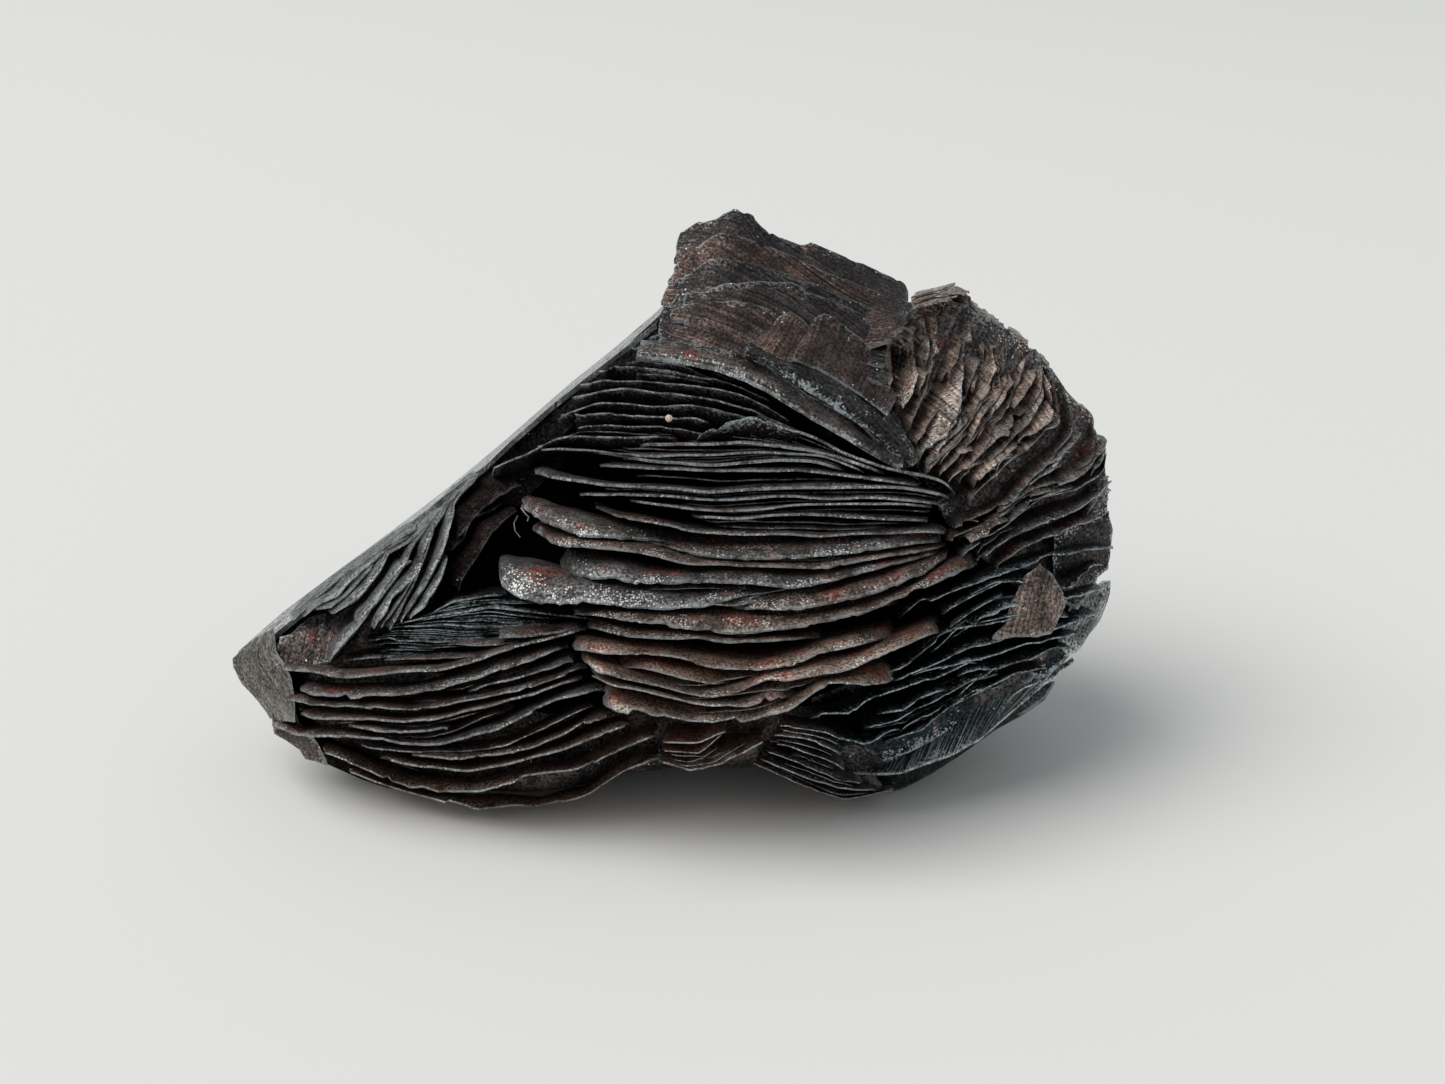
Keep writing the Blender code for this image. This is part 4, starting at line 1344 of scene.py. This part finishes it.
# The books that the photograph shows
BOOKS = [
    Book(
        "upper_book", UPPER_EDGES, ((0.0, -1.0), (0.0, -1.0)), ((0.0, -0.3), (0.0, -0.15)), UPPER_PLATES, 11,
        set_back=0.6, thickness=0.11, pitch=1.6, roll=0.9, fill=(0.35, 0.8), corner=1.2,
    ),
    Book(
        "splinter_lens", LENS_EDGES, ((0.0, -1.0), (0.0, -1.0)), ((0.0, -0.2), (0.0, -0.2)), DARK_PLATES, 22,
        set_back=-0.4, thickness=0.12, corner=0.6, reach=3.0, faces={0: (0.3, 1.0, 1.5, 1.6, 1.2, 0.3)},
    ),
    Book(
        "centre_book", CENTRE_EDGES, ((0.0, 0.5), (0.0, 0.8)), ((0.0, -0.05), (0.0, 0.05)), BROWN_PLATES, 13,
        set_back=0.2, thickness=0.17, pitch=1.1, fill=(0.15, 0.6), most=1.0, alone=0.3, bite=0.07,
    ),
    Book(
        "lower_book", LOWER_EDGES, ((0.0, 1.0), (0.0, 1.0)), ((0.0, 0.06), (0.0, 0.06)), LIT_PLATES, 14,
        reach=9.0, corner=5.0, alone=1.4, fill=(0.65, 1.0), set_back=0.3, set_back_last=-1.2,
        faces={
            0: (1.0, 1.6, 1.7, 1.4, 1.0, 0.8),
            4: (0.2, 2.5, 3.3, 3.1, 2.6, 2.2, 2.0, 1.8, 1.6, 1.4, 1.2, 1.0),
        },
    ),
    Book(
        "low_book", LOW_EDGES, ((0.0, 1.0), (0.0, 1.0)), ((0.0, 0.1), (0.0, 0.1)), RUST_PLATES, 24,
        reach=7.0, corner=4.0, alone=1.2, fill=(0.75, 1.05), set_back=-1.4, set_back_last=-2.8,
        thickness=0.12,
    ),
    Book(
        "left_book", LEFT_EDGES, ((0.0, 1.0), (0.0, 1.0)), ((0.0, 0.05), (0.0, 0.05)), LEFT_PLATES, 15,
        set_back=1.6, set_back_last=0.4, alone=0.9, most=1.3, fill=(0.45, 0.85), chip=0.06, bite=0.18,
    ),
    Book(
        "small_fan", FAN_EDGES, ((0.0, 1.0), (0.0, 1.0)), ((0.0, 0.1), (0.0, 0.1)), DARK_PLATES, 16,
        set_back=4.0, pitch=0.35, thickness=0.12, alone=0.4, fill=(0.3, 0.6), between_back=(0.1, 0.8),
    ),
    Book(
        "flank_book", FLANK_EDGES, ((-0.8, 0.5), (-0.8, 0.5)), ((-0.1, 0.1), (-0.1, 0.1)), RIBBONS, 17,
        set_back=2.6, reach=4.0, corner=0.8, thickness=0.14, alone=0.15, most=0.8, fill=(0.5, 0.9), roll=0.5,
        bite=0.05,
    ),
    # Near black sheets, painted shade in the dark hollow by the flank
    Book(
        "dark_wall", DARK_WALL_EDGES, ((-0.8, 0.6), (-0.8, 0.6)), ((-0.1, 0.1), (-0.1, 0.1)), PAINTED_SHADE_WALL, 23,
        set_back=4.2, reach=5.0, corner=0.6, alone=2.6, most=2.6, fill=(0.7, 0.9), roll=1.6, thickness=0.1,
    ),
    Book(
        "right_packet", RIGHT_EDGES, ((-0.9, 0.45), (-0.6, 0.8)), ((-0.1, 0.05), (-0.1, 0.1)),
        PACKET_PLATES, 18, set_back=0.6, corner=1.0, roll=1.6, chip=0.12, bite=0.35, most=4.0, alone=2.0,
        fill=(0.8, 1.15), thickness=0.12, splinters=70,
    ),
    Book(
        "right_packet_foot", RIGHT_FOOT_EDGES, ((-0.7, 0.7), (-0.6, 0.8)), ((-0.1, 0.05), (-0.1, 0.1)),
        PACKET_FOOT_PLATES, 26, set_back=0.7, corner=1.0, roll=1.0, chip=0.10, bite=0.3, most=2.0, alone=1.6,
        fill=(0.35, 0.75), thickness=0.11, splinters=20,
    ),
    Book(
        "sweeping_book", SWEEP_EDGES, ((-0.5, 0.9), (-0.3, 1.0)), ((-0.05, 0.1), (0.0, 0.1)), DARK_PLATES, 19,
        set_back=0.4, corner=1.5, chip=0.08, bite=0.25, alone=1.0, most=1.6, fill=(0.5, 0.95), thickness=0.11,
        splinters=14,
    ),
    Book(
        "foot_book", FOOT_EDGES, ((0.0, 1.0), (-0.2, 0.9)), ((0.0, 0.1), (0.0, 0.1)), RUST_PLATES, 20,
        set_back=-0.5, corner=1.5, alone=0.9, fill=(0.6, 0.95), pitch=0.5, thickness=0.11,
    ),
    Book(
        "straight_book", STRAIGHT_EDGES, ((0.3, 0.9), (0.3, 0.9)), ((0.0, 0.1), (0.0, 0.1)), LEFT_PLATES, 25,
        set_back=0.2, corner=1.0, alone=0.7, most=0.8, fill=(0.4, 0.9), pitch=0.4, thickness=0.09, roll=0.5,
    ),
    Book(
        "pale_book", PALE_BOOK_EDGES, ((0.0, 1.0), (0.0, 1.0)), ((0.0, 0.0), (0.0, 0.0)), PACKET_PLATES, 21,
        set_back=-5.0, corner=0.8, slot=Slot.RIM, thickness=0.12, alone=0.2, bite=0.05,
    ),
]

# The books on the back, which the photograph doesn't show
BACK_BOOKS = [
    BackBook(
        "back_flank_book",
        [[(-32.2, -11.2), (-17.8, 1.0), (-2.4, 13.4)], [(-24.0, -17.5), (-8.0, -5.5), (12.0, 5.0)]],
        ((0.3, -0.3), (0.3, -0.2)), ((0.15, -0.1), (0.1, 0.0)), BROWN_PLATES, 31, plates=17, splinters=20,
    ),
    BackBook(
        "back_foot_book",
        [[(-20.0, -13.0), (-6.0, -6.0), (13.0, -3.0)], [(-25.0, -19.8), (-6.0, -20.4), (15.0, -19.6)]],
        ((0.0, 0.8), (0.0, 0.8)), ((0.0, 0.1), (0.0, 0.05)), LIT_PLATES, 32, plates=14, splinters=20,
        set_back=0.2,
    ),
    BackBook(
        "back_right_book",
        [[(14.0, 17.0), (13.0, 0.0), (14.0, -20.5)], [(31.5, 9.6), (34.2, -2.0), (29.8, -13.4)]],
        ((-0.8, 0.0), (-0.8, 0.0)), ((-0.1, 0.0), (-0.2, 0.0)), PACKET_FOOT_PLATES, 33, plates=20,
        splinters=30, bite=0.4,
    ),
    BackBook(
        "back_crown_book",
        [[(-1.0, 16.2), (5.4, 18.8), (14.0, 15.2)], [(-2.0, 9.5), (7.0, 7.5), (15.5, 6.0)]],
        ((0.0, -0.6), (0.0, 0.4)), ((0.0, -0.1), (0.0, 0.1)), BROWN_PLATES, 34, plates=15, splinters=14,
    ),
]

# The plates that are seen on their faces
BROAD_PLATES = [
    BroadPlate(
        "packet_ground",
        [(17.0, 9.0), (19.0, 4.0), (22.5, -2.0), (27.0, -6.0), (33.0, -8.0)], (6.6, 7.2, 6.4, 4.6),
        [(18.8, 16.6), (22.6, 16.9), (25.2, 15.8), (27.2, 14.4), (29.7, 12.5), (31.8, 9.6), (33.8, 7.8),
         (34.9, 3.0), (35.0, -3.0)],
        (2.4, 1.4, 0.4, 0.0, 0.0),
        PACKET_FOOT_PLATES, 62, thickness=0.3, bite=0.25, rows=40, bulge=0.6,
    ),
    BroadPlate(
        "lower_right_wall",
        [(12.0, -19.5), (17.0, -20.0), (22.0, -18.0), (26.5, -15.5), (30.6, -12.8), (33.4, -9.6)],
        (5.0, 5.0, 4.0, 2.4, 0.8),
        [(11.0, -15.0), (17.0, -12.5), (22.0, -9.5), (26.0, -7.0), (31.0, -6.0), (34.6, -6.2)],
        (9.0, 8.6, 7.4, 5.0, 1.0),
        DARK_PLATES, 63, thickness=0.3, bite=0.1, rows=30,
    ),
    # A near black sheet, painted shade behind the left end
    BroadPlate(
        "left_wall",
        [(-26.0, -12.4), (-25.0, -16.0), (-23.0, -20.0), (-20.0, -22.6)], (1.6, 1.6),
        [(-32.2, -12.4), (-31.9, -15.4), (-31.4, -17.8), (-29.5, -19.2), (-25.0, -21.2), (-22.0, -22.2)],
        (0.6, 0.6),
        PAINTED_SHADE_WALL, 64, thickness=0.4, bite=0.02,
    ),
    # The flank slab's pale grey holds a painted highlight along the flank
    BroadPlate(
        "flank_slab",
        [(-32.6, -10.6), (-31.0, -9.3), (-29.3, -7.9), (-26.0, -5.2), (-24.4, -3.8), (-17.1, 2.0),
         (-15.1, 3.4), (-12.8, 5.6), (-9.6, 8.4), (-2.6, 13.9), (-1.2, 15.0)],
        (2.6, 2.6, 2.6),
        [(-34.8, -11.4), (-31.2, -8.2), (-27.2, -5.2), (-22.6, -1.8), (-18.2, 1.55), (-13.9, 5.1),
         (-8.2, 10.1), (-4.8, 12.8), (-1.2, 15.9), (-0.5, 16.6)],
        (0.0, -6.0, -9.0, -10.0, -9.0, -6.0),
        FLANK_FACE, 41, thickness=0.5, slot=Slot.RIM, bite=0.06,
    ),
    # A near black sheet, painted shade behind the flank slab
    BroadPlate(
        "flank_wall",
        [(-31.9, -12.6), (-27.0, -12.4), (-21.0, -9.6), (-14.0, -2.0), (-9.5, 5.0), (-5.0, 11.0),
         (-0.6, 12.6)],
        (3.4, 2.0, 1.6, 2.0, 3.0, 3.0),
        [(-32.4, -10.6), (-30.0, -8.6), (-24.6, -4.2), (-17.4, 1.6), (-12.8, 5.4), (-4.0, 12.8),
         (-1.0, 15.6)],
        (2.0, 2.0, 2.0),
        PAINTED_SHADE_WALL, 48, thickness=0.3, bite=0.02,
    ),
    BroadPlate(
        "flank_leaf_low",
        [(-31.8, -12.5), (-29.8, -12.6), (-28.6, -12.6)], (5.2, 5.2),
        [(-31.6, -10.2), (-30.4, -9.9), (-29.9, -9.3), (-29.0, -8.6), (-27.6, -8.2)], (3.6, 3.6),
        LEAF_FACE, 49, thickness=0.15, bite=0.05,
    ),
    BroadPlate(
        "flank_leaf_high",
        [(-28.8, -12.4), (-27.4, -12.2), (-25.2, -9.6)], (5.6, 5.2),
        [(-28.3, -10.4), (-27.3, -8.9), (-26.4, -8.2), (-24.6, -6.6), (-22.6, -4.2), (-21.6, -3.0)],
        (4.4, 3.6),
        LEAF_FACE, 50, thickness=0.15, bite=0.05,
    ),
    BroadPlate(
        "left_tip",
        [(-31.9, -9.4), (-31.7, -11.3), (-31.0, -12.4), (-30.5, -13.4), (-30.2, -15.2), (-30.2, -16.6)],
        (5.4, 6.4),
        [(-33.6, -10.4), (-35.3, -12.0), (-34.6, -13.4), (-33.6, -14.5), (-32.6, -15.7), (-32.2, -16.4)],
        (0.0, 0.0),
        PALE_FACE, 42, thickness=0.5, slot=Slot.RIM, bite=0.05,
    ),
    BroadPlate(
        "left_end",
        [(-30.3, -15.2), (-29.9, -17.0), (-28.4, -18.6), (-27.6, -20.2)], (3.6, 3.6),
        [(-32.2, -15.4), (-32.0, -17.6), (-30.1, -18.6), (-29.4, -19.7)], (1.0, 1.0),
        LEAF_FACE, 51, thickness=0.4, bite=0.04,
    ),
    BroadPlate(
        "ridge_plate",
        [(-3.0, 12.3), (0.6, 11.9), (3.3, 11.3), (5.1, 10.7), (7.4, 9.7), (9.2, 8.6), (11.0, 7.5),
         (14.1, 5.7), (16.3, 4.4), (18.6, 3.2)],
        (12.6, 13.0, 13.4, 13.4, 12.6),
        [(-2.6, 13.6), (0.7, 13.5), (3.3, 13.1), (6.0, 12.3), (8.0, 11.1), (9.6, 10.0), (11.8, 8.5),
         (14.1, 7.2), (16.3, 5.3), (18.6, 3.8)],
        (10.6, 11.0, 11.4, 11.4, 11.4),
        RIDGE_PLATES, 52, thickness=0.3, bite=0.1, rows=16, bulge=0.7,
    ),
    BroadPlate(
        "round_plate",
        [(5.6, 12.4), (7.4, 12.1), (8.7, 10.9), (10.5, 9.8), (12.7, 8.4), (15.0, 6.9), (16.8, 5.3),
         (19.0, 3.5)],
        (12.4, 12.6, 12.6, 12.4, 12.0),
        [(6.0, 13.7), (8.5, 12.4), (11.8, 12.0), (14.1, 11.0), (16.3, 9.0), (17.7, 7.5), (19.2, 5.5),
         (19.7, 4.0)],
        (10.4, 10.2, 10.0, 10.4, 11.0),
        DARK_PLATES, 53, thickness=0.3, bite=0.1, bulge=0.9,
    ),
    CrownLedge(
        "crown_back",
        [(-1.6, 13.0), (6.0, 12.6), (13.0, 12.6), (18.8, 14.6)], (8.5, 8.5),
        [(0.4, 21.6), (0.7, 22.4), (2.0, 23.1), (3.5, 23.5), (4.5, 24.2), (5.6, 24.3), (6.3, 23.9),
         (7.2, 22.8), (8.7, 21.9), (10.3, 21.3), (11.1, 21.5), (14.1, 20.3), (18.6, 18.2), (18.9, 17.4)],
        (2.0, 2.0),
        CROWN_PLATES, 43,
    ),
    CrownLedge(
        "crown_second",
        [(-1.8, 12.8), (6.0, 12.4), (13.0, 12.0), (18.4, 14.0)], (9.2, 9.2),
        [(-0.7, 20.0), (0.7, 21.1), (2.2, 21.2), (2.8, 21.8), (3.9, 22.2), (6.5, 21.6), (10.0, 20.2),
         (14.0, 18.5), (18.4, 16.6)],
        (4.3, 4.3),
        CROWN_PLATES, 46,
    ),
    CrownLedge(
        "crown_third",
        [(-2.0, 12.8), (6.0, 12.4), (12.0, 11.4), (17.6, 11.6)], (10.0, 10.0),
        [(-0.5, 18.4), (0.9, 18.9), (1.9, 19.4), (2.5, 19.9), (3.4, 20.3), (7.0, 19.8), (10.0, 18.7),
         (14.0, 17.0), (17.9, 15.4)],
        (5.9, 5.9),
        CROWN_PLATES, 44,
    ),
    CrownLedge(
        "crown_fourth",
        [(-2.2, 12.8), (6.0, 12.2), (12.0, 10.8), (17.2, 10.0)], (10.8, 10.8),
        [(-1.1, 17.9), (0.8, 17.4), (2.4, 17.6), (4.0, 18.2), (7.0, 18.4), (9.5, 18.3), (12.5, 17.0),
         (15.0, 15.9), (16.6, 14.4)],
        (7.2, 7.2),
        CROWN_PLATES, 54, rows=26,
    ),
    CrownLedge(
        "crown_fifth",
        [(-2.4, 12.8), (5.0, 12.2), (10.0, 11.2), (13.0, 10.4)], (11.4, 11.4),
        [(-1.3, 15.9), (1.3, 16.5), (3.0, 16.8), (6.0, 16.8), (8.0, 16.2), (10.5, 15.0), (13.0, 13.8)],
        (8.4, 8.4),
        CROWN_PLATES, 55, rows=20,
    ),
    BroadPlate(
        "crown_lobe_left",
        [(5.0, 12.4), (9.0, 11.6), (13.0, 9.8), (15.0, 8.8)], (12.0, 12.0),
        [(8.0, 14.6), (8.5, 15.5), (9.5, 15.9), (10.4, 15.3), (12.0, 13.5), (13.6, 12.1), (15.2, 10.8)],
        (9.2, 9.2),
        LOBE_FACE, 45, thickness=0.18, bite=0.08,
    ),
    BroadPlate(
        "crown_lobe_right",
        [(9.4, 12.0), (12.0, 10.8), (15.0, 9.2), (17.2, 7.6)], (12.0, 12.0),
        [(10.8, 14.6), (11.3, 15.4), (12.2, 15.8), (13.0, 15.5), (14.0, 14.6), (15.2, 13.7), (15.8, 12.8),
         (16.6, 11.2), (18.0, 9.0)],
        (9.0, 9.0),
        LOBE_FACE, 47, thickness=0.18, bite=0.08,
    ),
    BroadPlate(
        "silver_plate",
        [(13.4, -21.0), (15.5, -21.1), (17.0, -21.1), (18.3, -21.0), (20.8, -20.1), (22.3, -19.6),
         (24.5, -18.4), (26.1, -17.0)],
        (5.0, 5.4, 5.0, 4.6),
        [(14.0, -19.2), (17.0, -19.0), (19.6, -17.6), (22.0, -15.8), (24.4, -14.2), (26.4, -13.5),
         (28.4, -13.0), (30.6, -13.2)],
        (2.8, 3.4, 3.8, 3.0),
        SILVER_FACE, 56, thickness=0.2, bite=0.04, rows=24,
    ),
    BroadPlate(
        "silver_plate_foot",
        [(17.2, -22.4), (18.4, -22.1), (20.6, -21.0), (23.2, -19.3), (26.0, -17.3), (28.4, -16.0),
         (29.8, -15.0), (30.6, -13.7)],
        (2.0, 2.2, 1.6),
        [(16.0, -20.8), (18.4, -20.6), (20.6, -19.8), (23.2, -18.6), (25.8, -16.8), (28.2, -14.8),
         (29.8, -13.8)],
        (3.2, 3.2, 1.8),
        LENS_FACE, 57, thickness=0.3, bite=0.02, rows=10,
    ),
    BroadPlate(
        "rim_lens",
        [(26.1, -16.9), (26.2, -16.3), (26.8, -15.4), (27.3, -14.8), (28.2, -14.2), (29.0, -13.95),
         (30.1, -13.85), (31.0, -12.9), (32.2, -12.1)],
        (4.4, 3.6, 2.0),
        [(25.8, -16.8), (25.9, -16.2), (26.5, -15.2), (27.1, -14.5), (28.1, -13.9), (29.0, -13.6),
         (29.9, -13.5), (30.8, -12.6), (32.0, -11.8)],
        (4.3, 3.4, 1.9),
        PATCH_FACE, 58, thickness=0.12, bite=0.02, rows=8, column=0.2,
    ),
    BroadPlate(
        "right_face",
        [(25.2, -10.5), (27.3, -10.2), (29.0, -10.2), (30.3, -9.9), (30.9, -8.7)], (10.6, 10.0, 8.6),
        [(27.6, -6.4), (28.2, -5.0), (29.4, -4.2), (30.5, -5.2), (31.3, -6.4), (31.6, -7.4)],
        (9.8, 9.4, 7.8),
        RIGHT_FACE, 59, thickness=0.16, bite=0.16, ragged=1.6,
    ),
    BroadPlate(
        "right_dark_face",
        [(30.4, -5.2), (31.7, -6.8), (32.8, -6.3), (34.0, -5.3), (34.9, -4.6)], (5.4, 3.6, 2.0),
        [(30.4, -1.8), (32.0, -1.2), (33.6, -0.4), (34.9, 0.1), (35.3, -1.6)], (5.4, 4.2, 2.0),
        DARK_PLATES, 60, thickness=0.2, bite=0.08,
    ),
    BroadPlate(
        "rim_patch",
        [(30.8, -10.6), (31.6, -11.6), (32.5, -11.2), (33.2, -10.0)], (4.0, 2.6),
        [(31.9, -7.2), (33.0, -6.8), (34.4, -5.6), (35.1, -5.6), (35.0, -6.8), (34.2, -8.8)], (3.6, 0.6),
        PATCH_FACE, 61, thickness=0.2, bite=0.06,
    ),
]


@dataclass(frozen=True)
class Dust:
    """The specks on the specimen: a pale grain of sand and a few fibres of lint."""

    grain: tuple[float, float, float] = (-0.3, 7.3, 13.6)
    grain_size: float = 0.3
    fibre_width: float = 0.05
    fibre_points: int = 24
    fibre_sides: int = 6
    fibres: tuple[tuple[tuple[float, float, float], ...], ...] = (
        ((-12.1, 0.1, 8.6), (-11.8, -0.3, 8.7), (-11.5, -0.6, 8.6), (-11.6, -0.9, 8.5)),
        ((-12.4, -0.5, 8.0), (-12.7, -1.1, 8.0), (-12.6, -1.7, 8.0), (-12.2, -2.2, 8.0)),
    )

    def build(self) -> None:
        """Builds the grain and the fibres, each kind as one piece."""
        self._build_grain()
        self._build_lint()

    def _build_grain(self) -> bpy.types.Object:
        """Builds the grain of sand as a lumpy ball.

        Returns:
            The piece.
        """
        bm = bmesh.new()
        bmesh.ops.create_icosphere(bm, subdivisions=3, radius=self.grain_size)
        for vertex in bm.verts:
            lumps = math.sin(9.0 * vertex.co.x / self.grain_size) * math.cos(7.0 * vertex.co.z)
            x, y, z = vertex.co * (1.0 + 0.12 * lumps)
            vertex.co = VIEW.in_the_round(np.array(self.grain) + np.array((x, z, -y)))
        bmesh.ops.recalc_face_normals(bm, faces=bm.faces)
        return finished_object(bm, "sand_grain", SAND.build())

    def _build_lint(self) -> bpy.types.Object:
        """Builds the fibres of lint as thin closed tubes.

        Returns:
            The piece.
        """
        bm = new_book()
        for fibre in self.fibres:
            points = spread(np.array(fibre), self.fibre_points)[0]
            start = Matrix.Translation(points[0]) @ Matrix.Rotation(math.pi / 2, 4, "Z")
            ring = bmesh.ops.create_circle(
                bm, segments=self.fibre_sides, radius=self.fibre_width, matrix=start
            )["verts"]
            edges = list({edge for vertex in ring for edge in vertex.link_edges})
            for step in np.diff(points, axis=0):
                drawn = bmesh.ops.extrude_edge_only(bm, edges=edges)["geom"]
                ring = [part for part in drawn if isinstance(part, bmesh.types.BMVert)]
                bmesh.ops.translate(bm, verts=ring, vec=step)
                ends = set(ring)
                edges = [e for e in drawn if isinstance(e, bmesh.types.BMEdge) and ends.issuperset(e.verts)]
        bmesh.ops.holes_fill(bm, edges=[edge for edge in bm.edges if edge.is_boundary], sides=0)
        for vertex in bm.verts:
            vertex.co = VIEW.in_the_round(vertex.co)
        bmesh.ops.recalc_face_normals(bm, faces=bm.faces)
        return finished_object(bm, "lint", LINT.build())


@dataclass(frozen=True)
class Studio:
    """The pale floor, the soft light and the surroundings."""

    floor_size: float = 12.0
    sky: tuple[float, float, float, float] = (0.94, 0.985, 1.02, 1.0)
    sky_strength: float = 0.42
    key_power: float = 136.0
    key_size: float = 3.6
    key_colour: Colour = (1.0, 0.985, 0.945)
    key_from: tuple[float, float, float] = (-2.1, -0.7, 3.4)

    def build(self) -> None:
        """Adds the floor, the key light and the surroundings."""
        self._add_floor()
        self._add_key()
        self._add_sky()

    def _add_floor(self) -> None:
        """Lays the pale floor that the cluster stands on."""
        bm = bmesh.new()
        bmesh.ops.create_grid(bm, x_segments=1, y_segments=1, size=self.floor_size / 2)
        mesh = bpy.data.meshes.new("floor")
        bm.to_mesh(mesh)
        bm.free()
        mesh.materials.append(FLOOR.build())
        floor = bpy.data.objects.new("floor", mesh)
        bpy.context.scene.collection.objects.link(floor)

    def _add_key(self) -> None:
        """Hangs the large soft light, turned to the cluster."""
        data = bpy.data.lights.new("key", "AREA")
        data.energy = self.key_power
        data.size = self.key_size
        data.color = self.key_colour
        key = bpy.data.objects.new("key", data)
        key.location = self.key_from
        key.rotation_euler = (-Vector(self.key_from)).to_track_quat("-Z", "Y").to_euler()
        bpy.context.scene.collection.objects.link(key)

    def _add_sky(self) -> None:
        """Sets the even light of the surroundings."""
        world = bpy.data.worlds.new("studio")
        world.use_nodes = True
        background = world.node_tree.nodes["Background"]
        background.inputs["Color"].default_value = self.sky
        background.inputs["Strength"].default_value = self.sky_strength
        bpy.context.scene.world = world
        bpy.context.scene.view_settings.view_transform = "Standard"


def main() -> None:
    """Builds every piece of the cluster, the studio and the camera."""
    logging.basicConfig(level=logging.INFO, format="%(message)s")
    VIEW.add_camera()
    Studio().build()
    for mass in MASSES:
        mass.build()
    for book in [*BOOKS, *BACK_BOOKS]:
        book.build()
    for plate in BROAD_PLATES:
        plate.build()
    Dust().build()


if __name__ == "__main__":
    main()
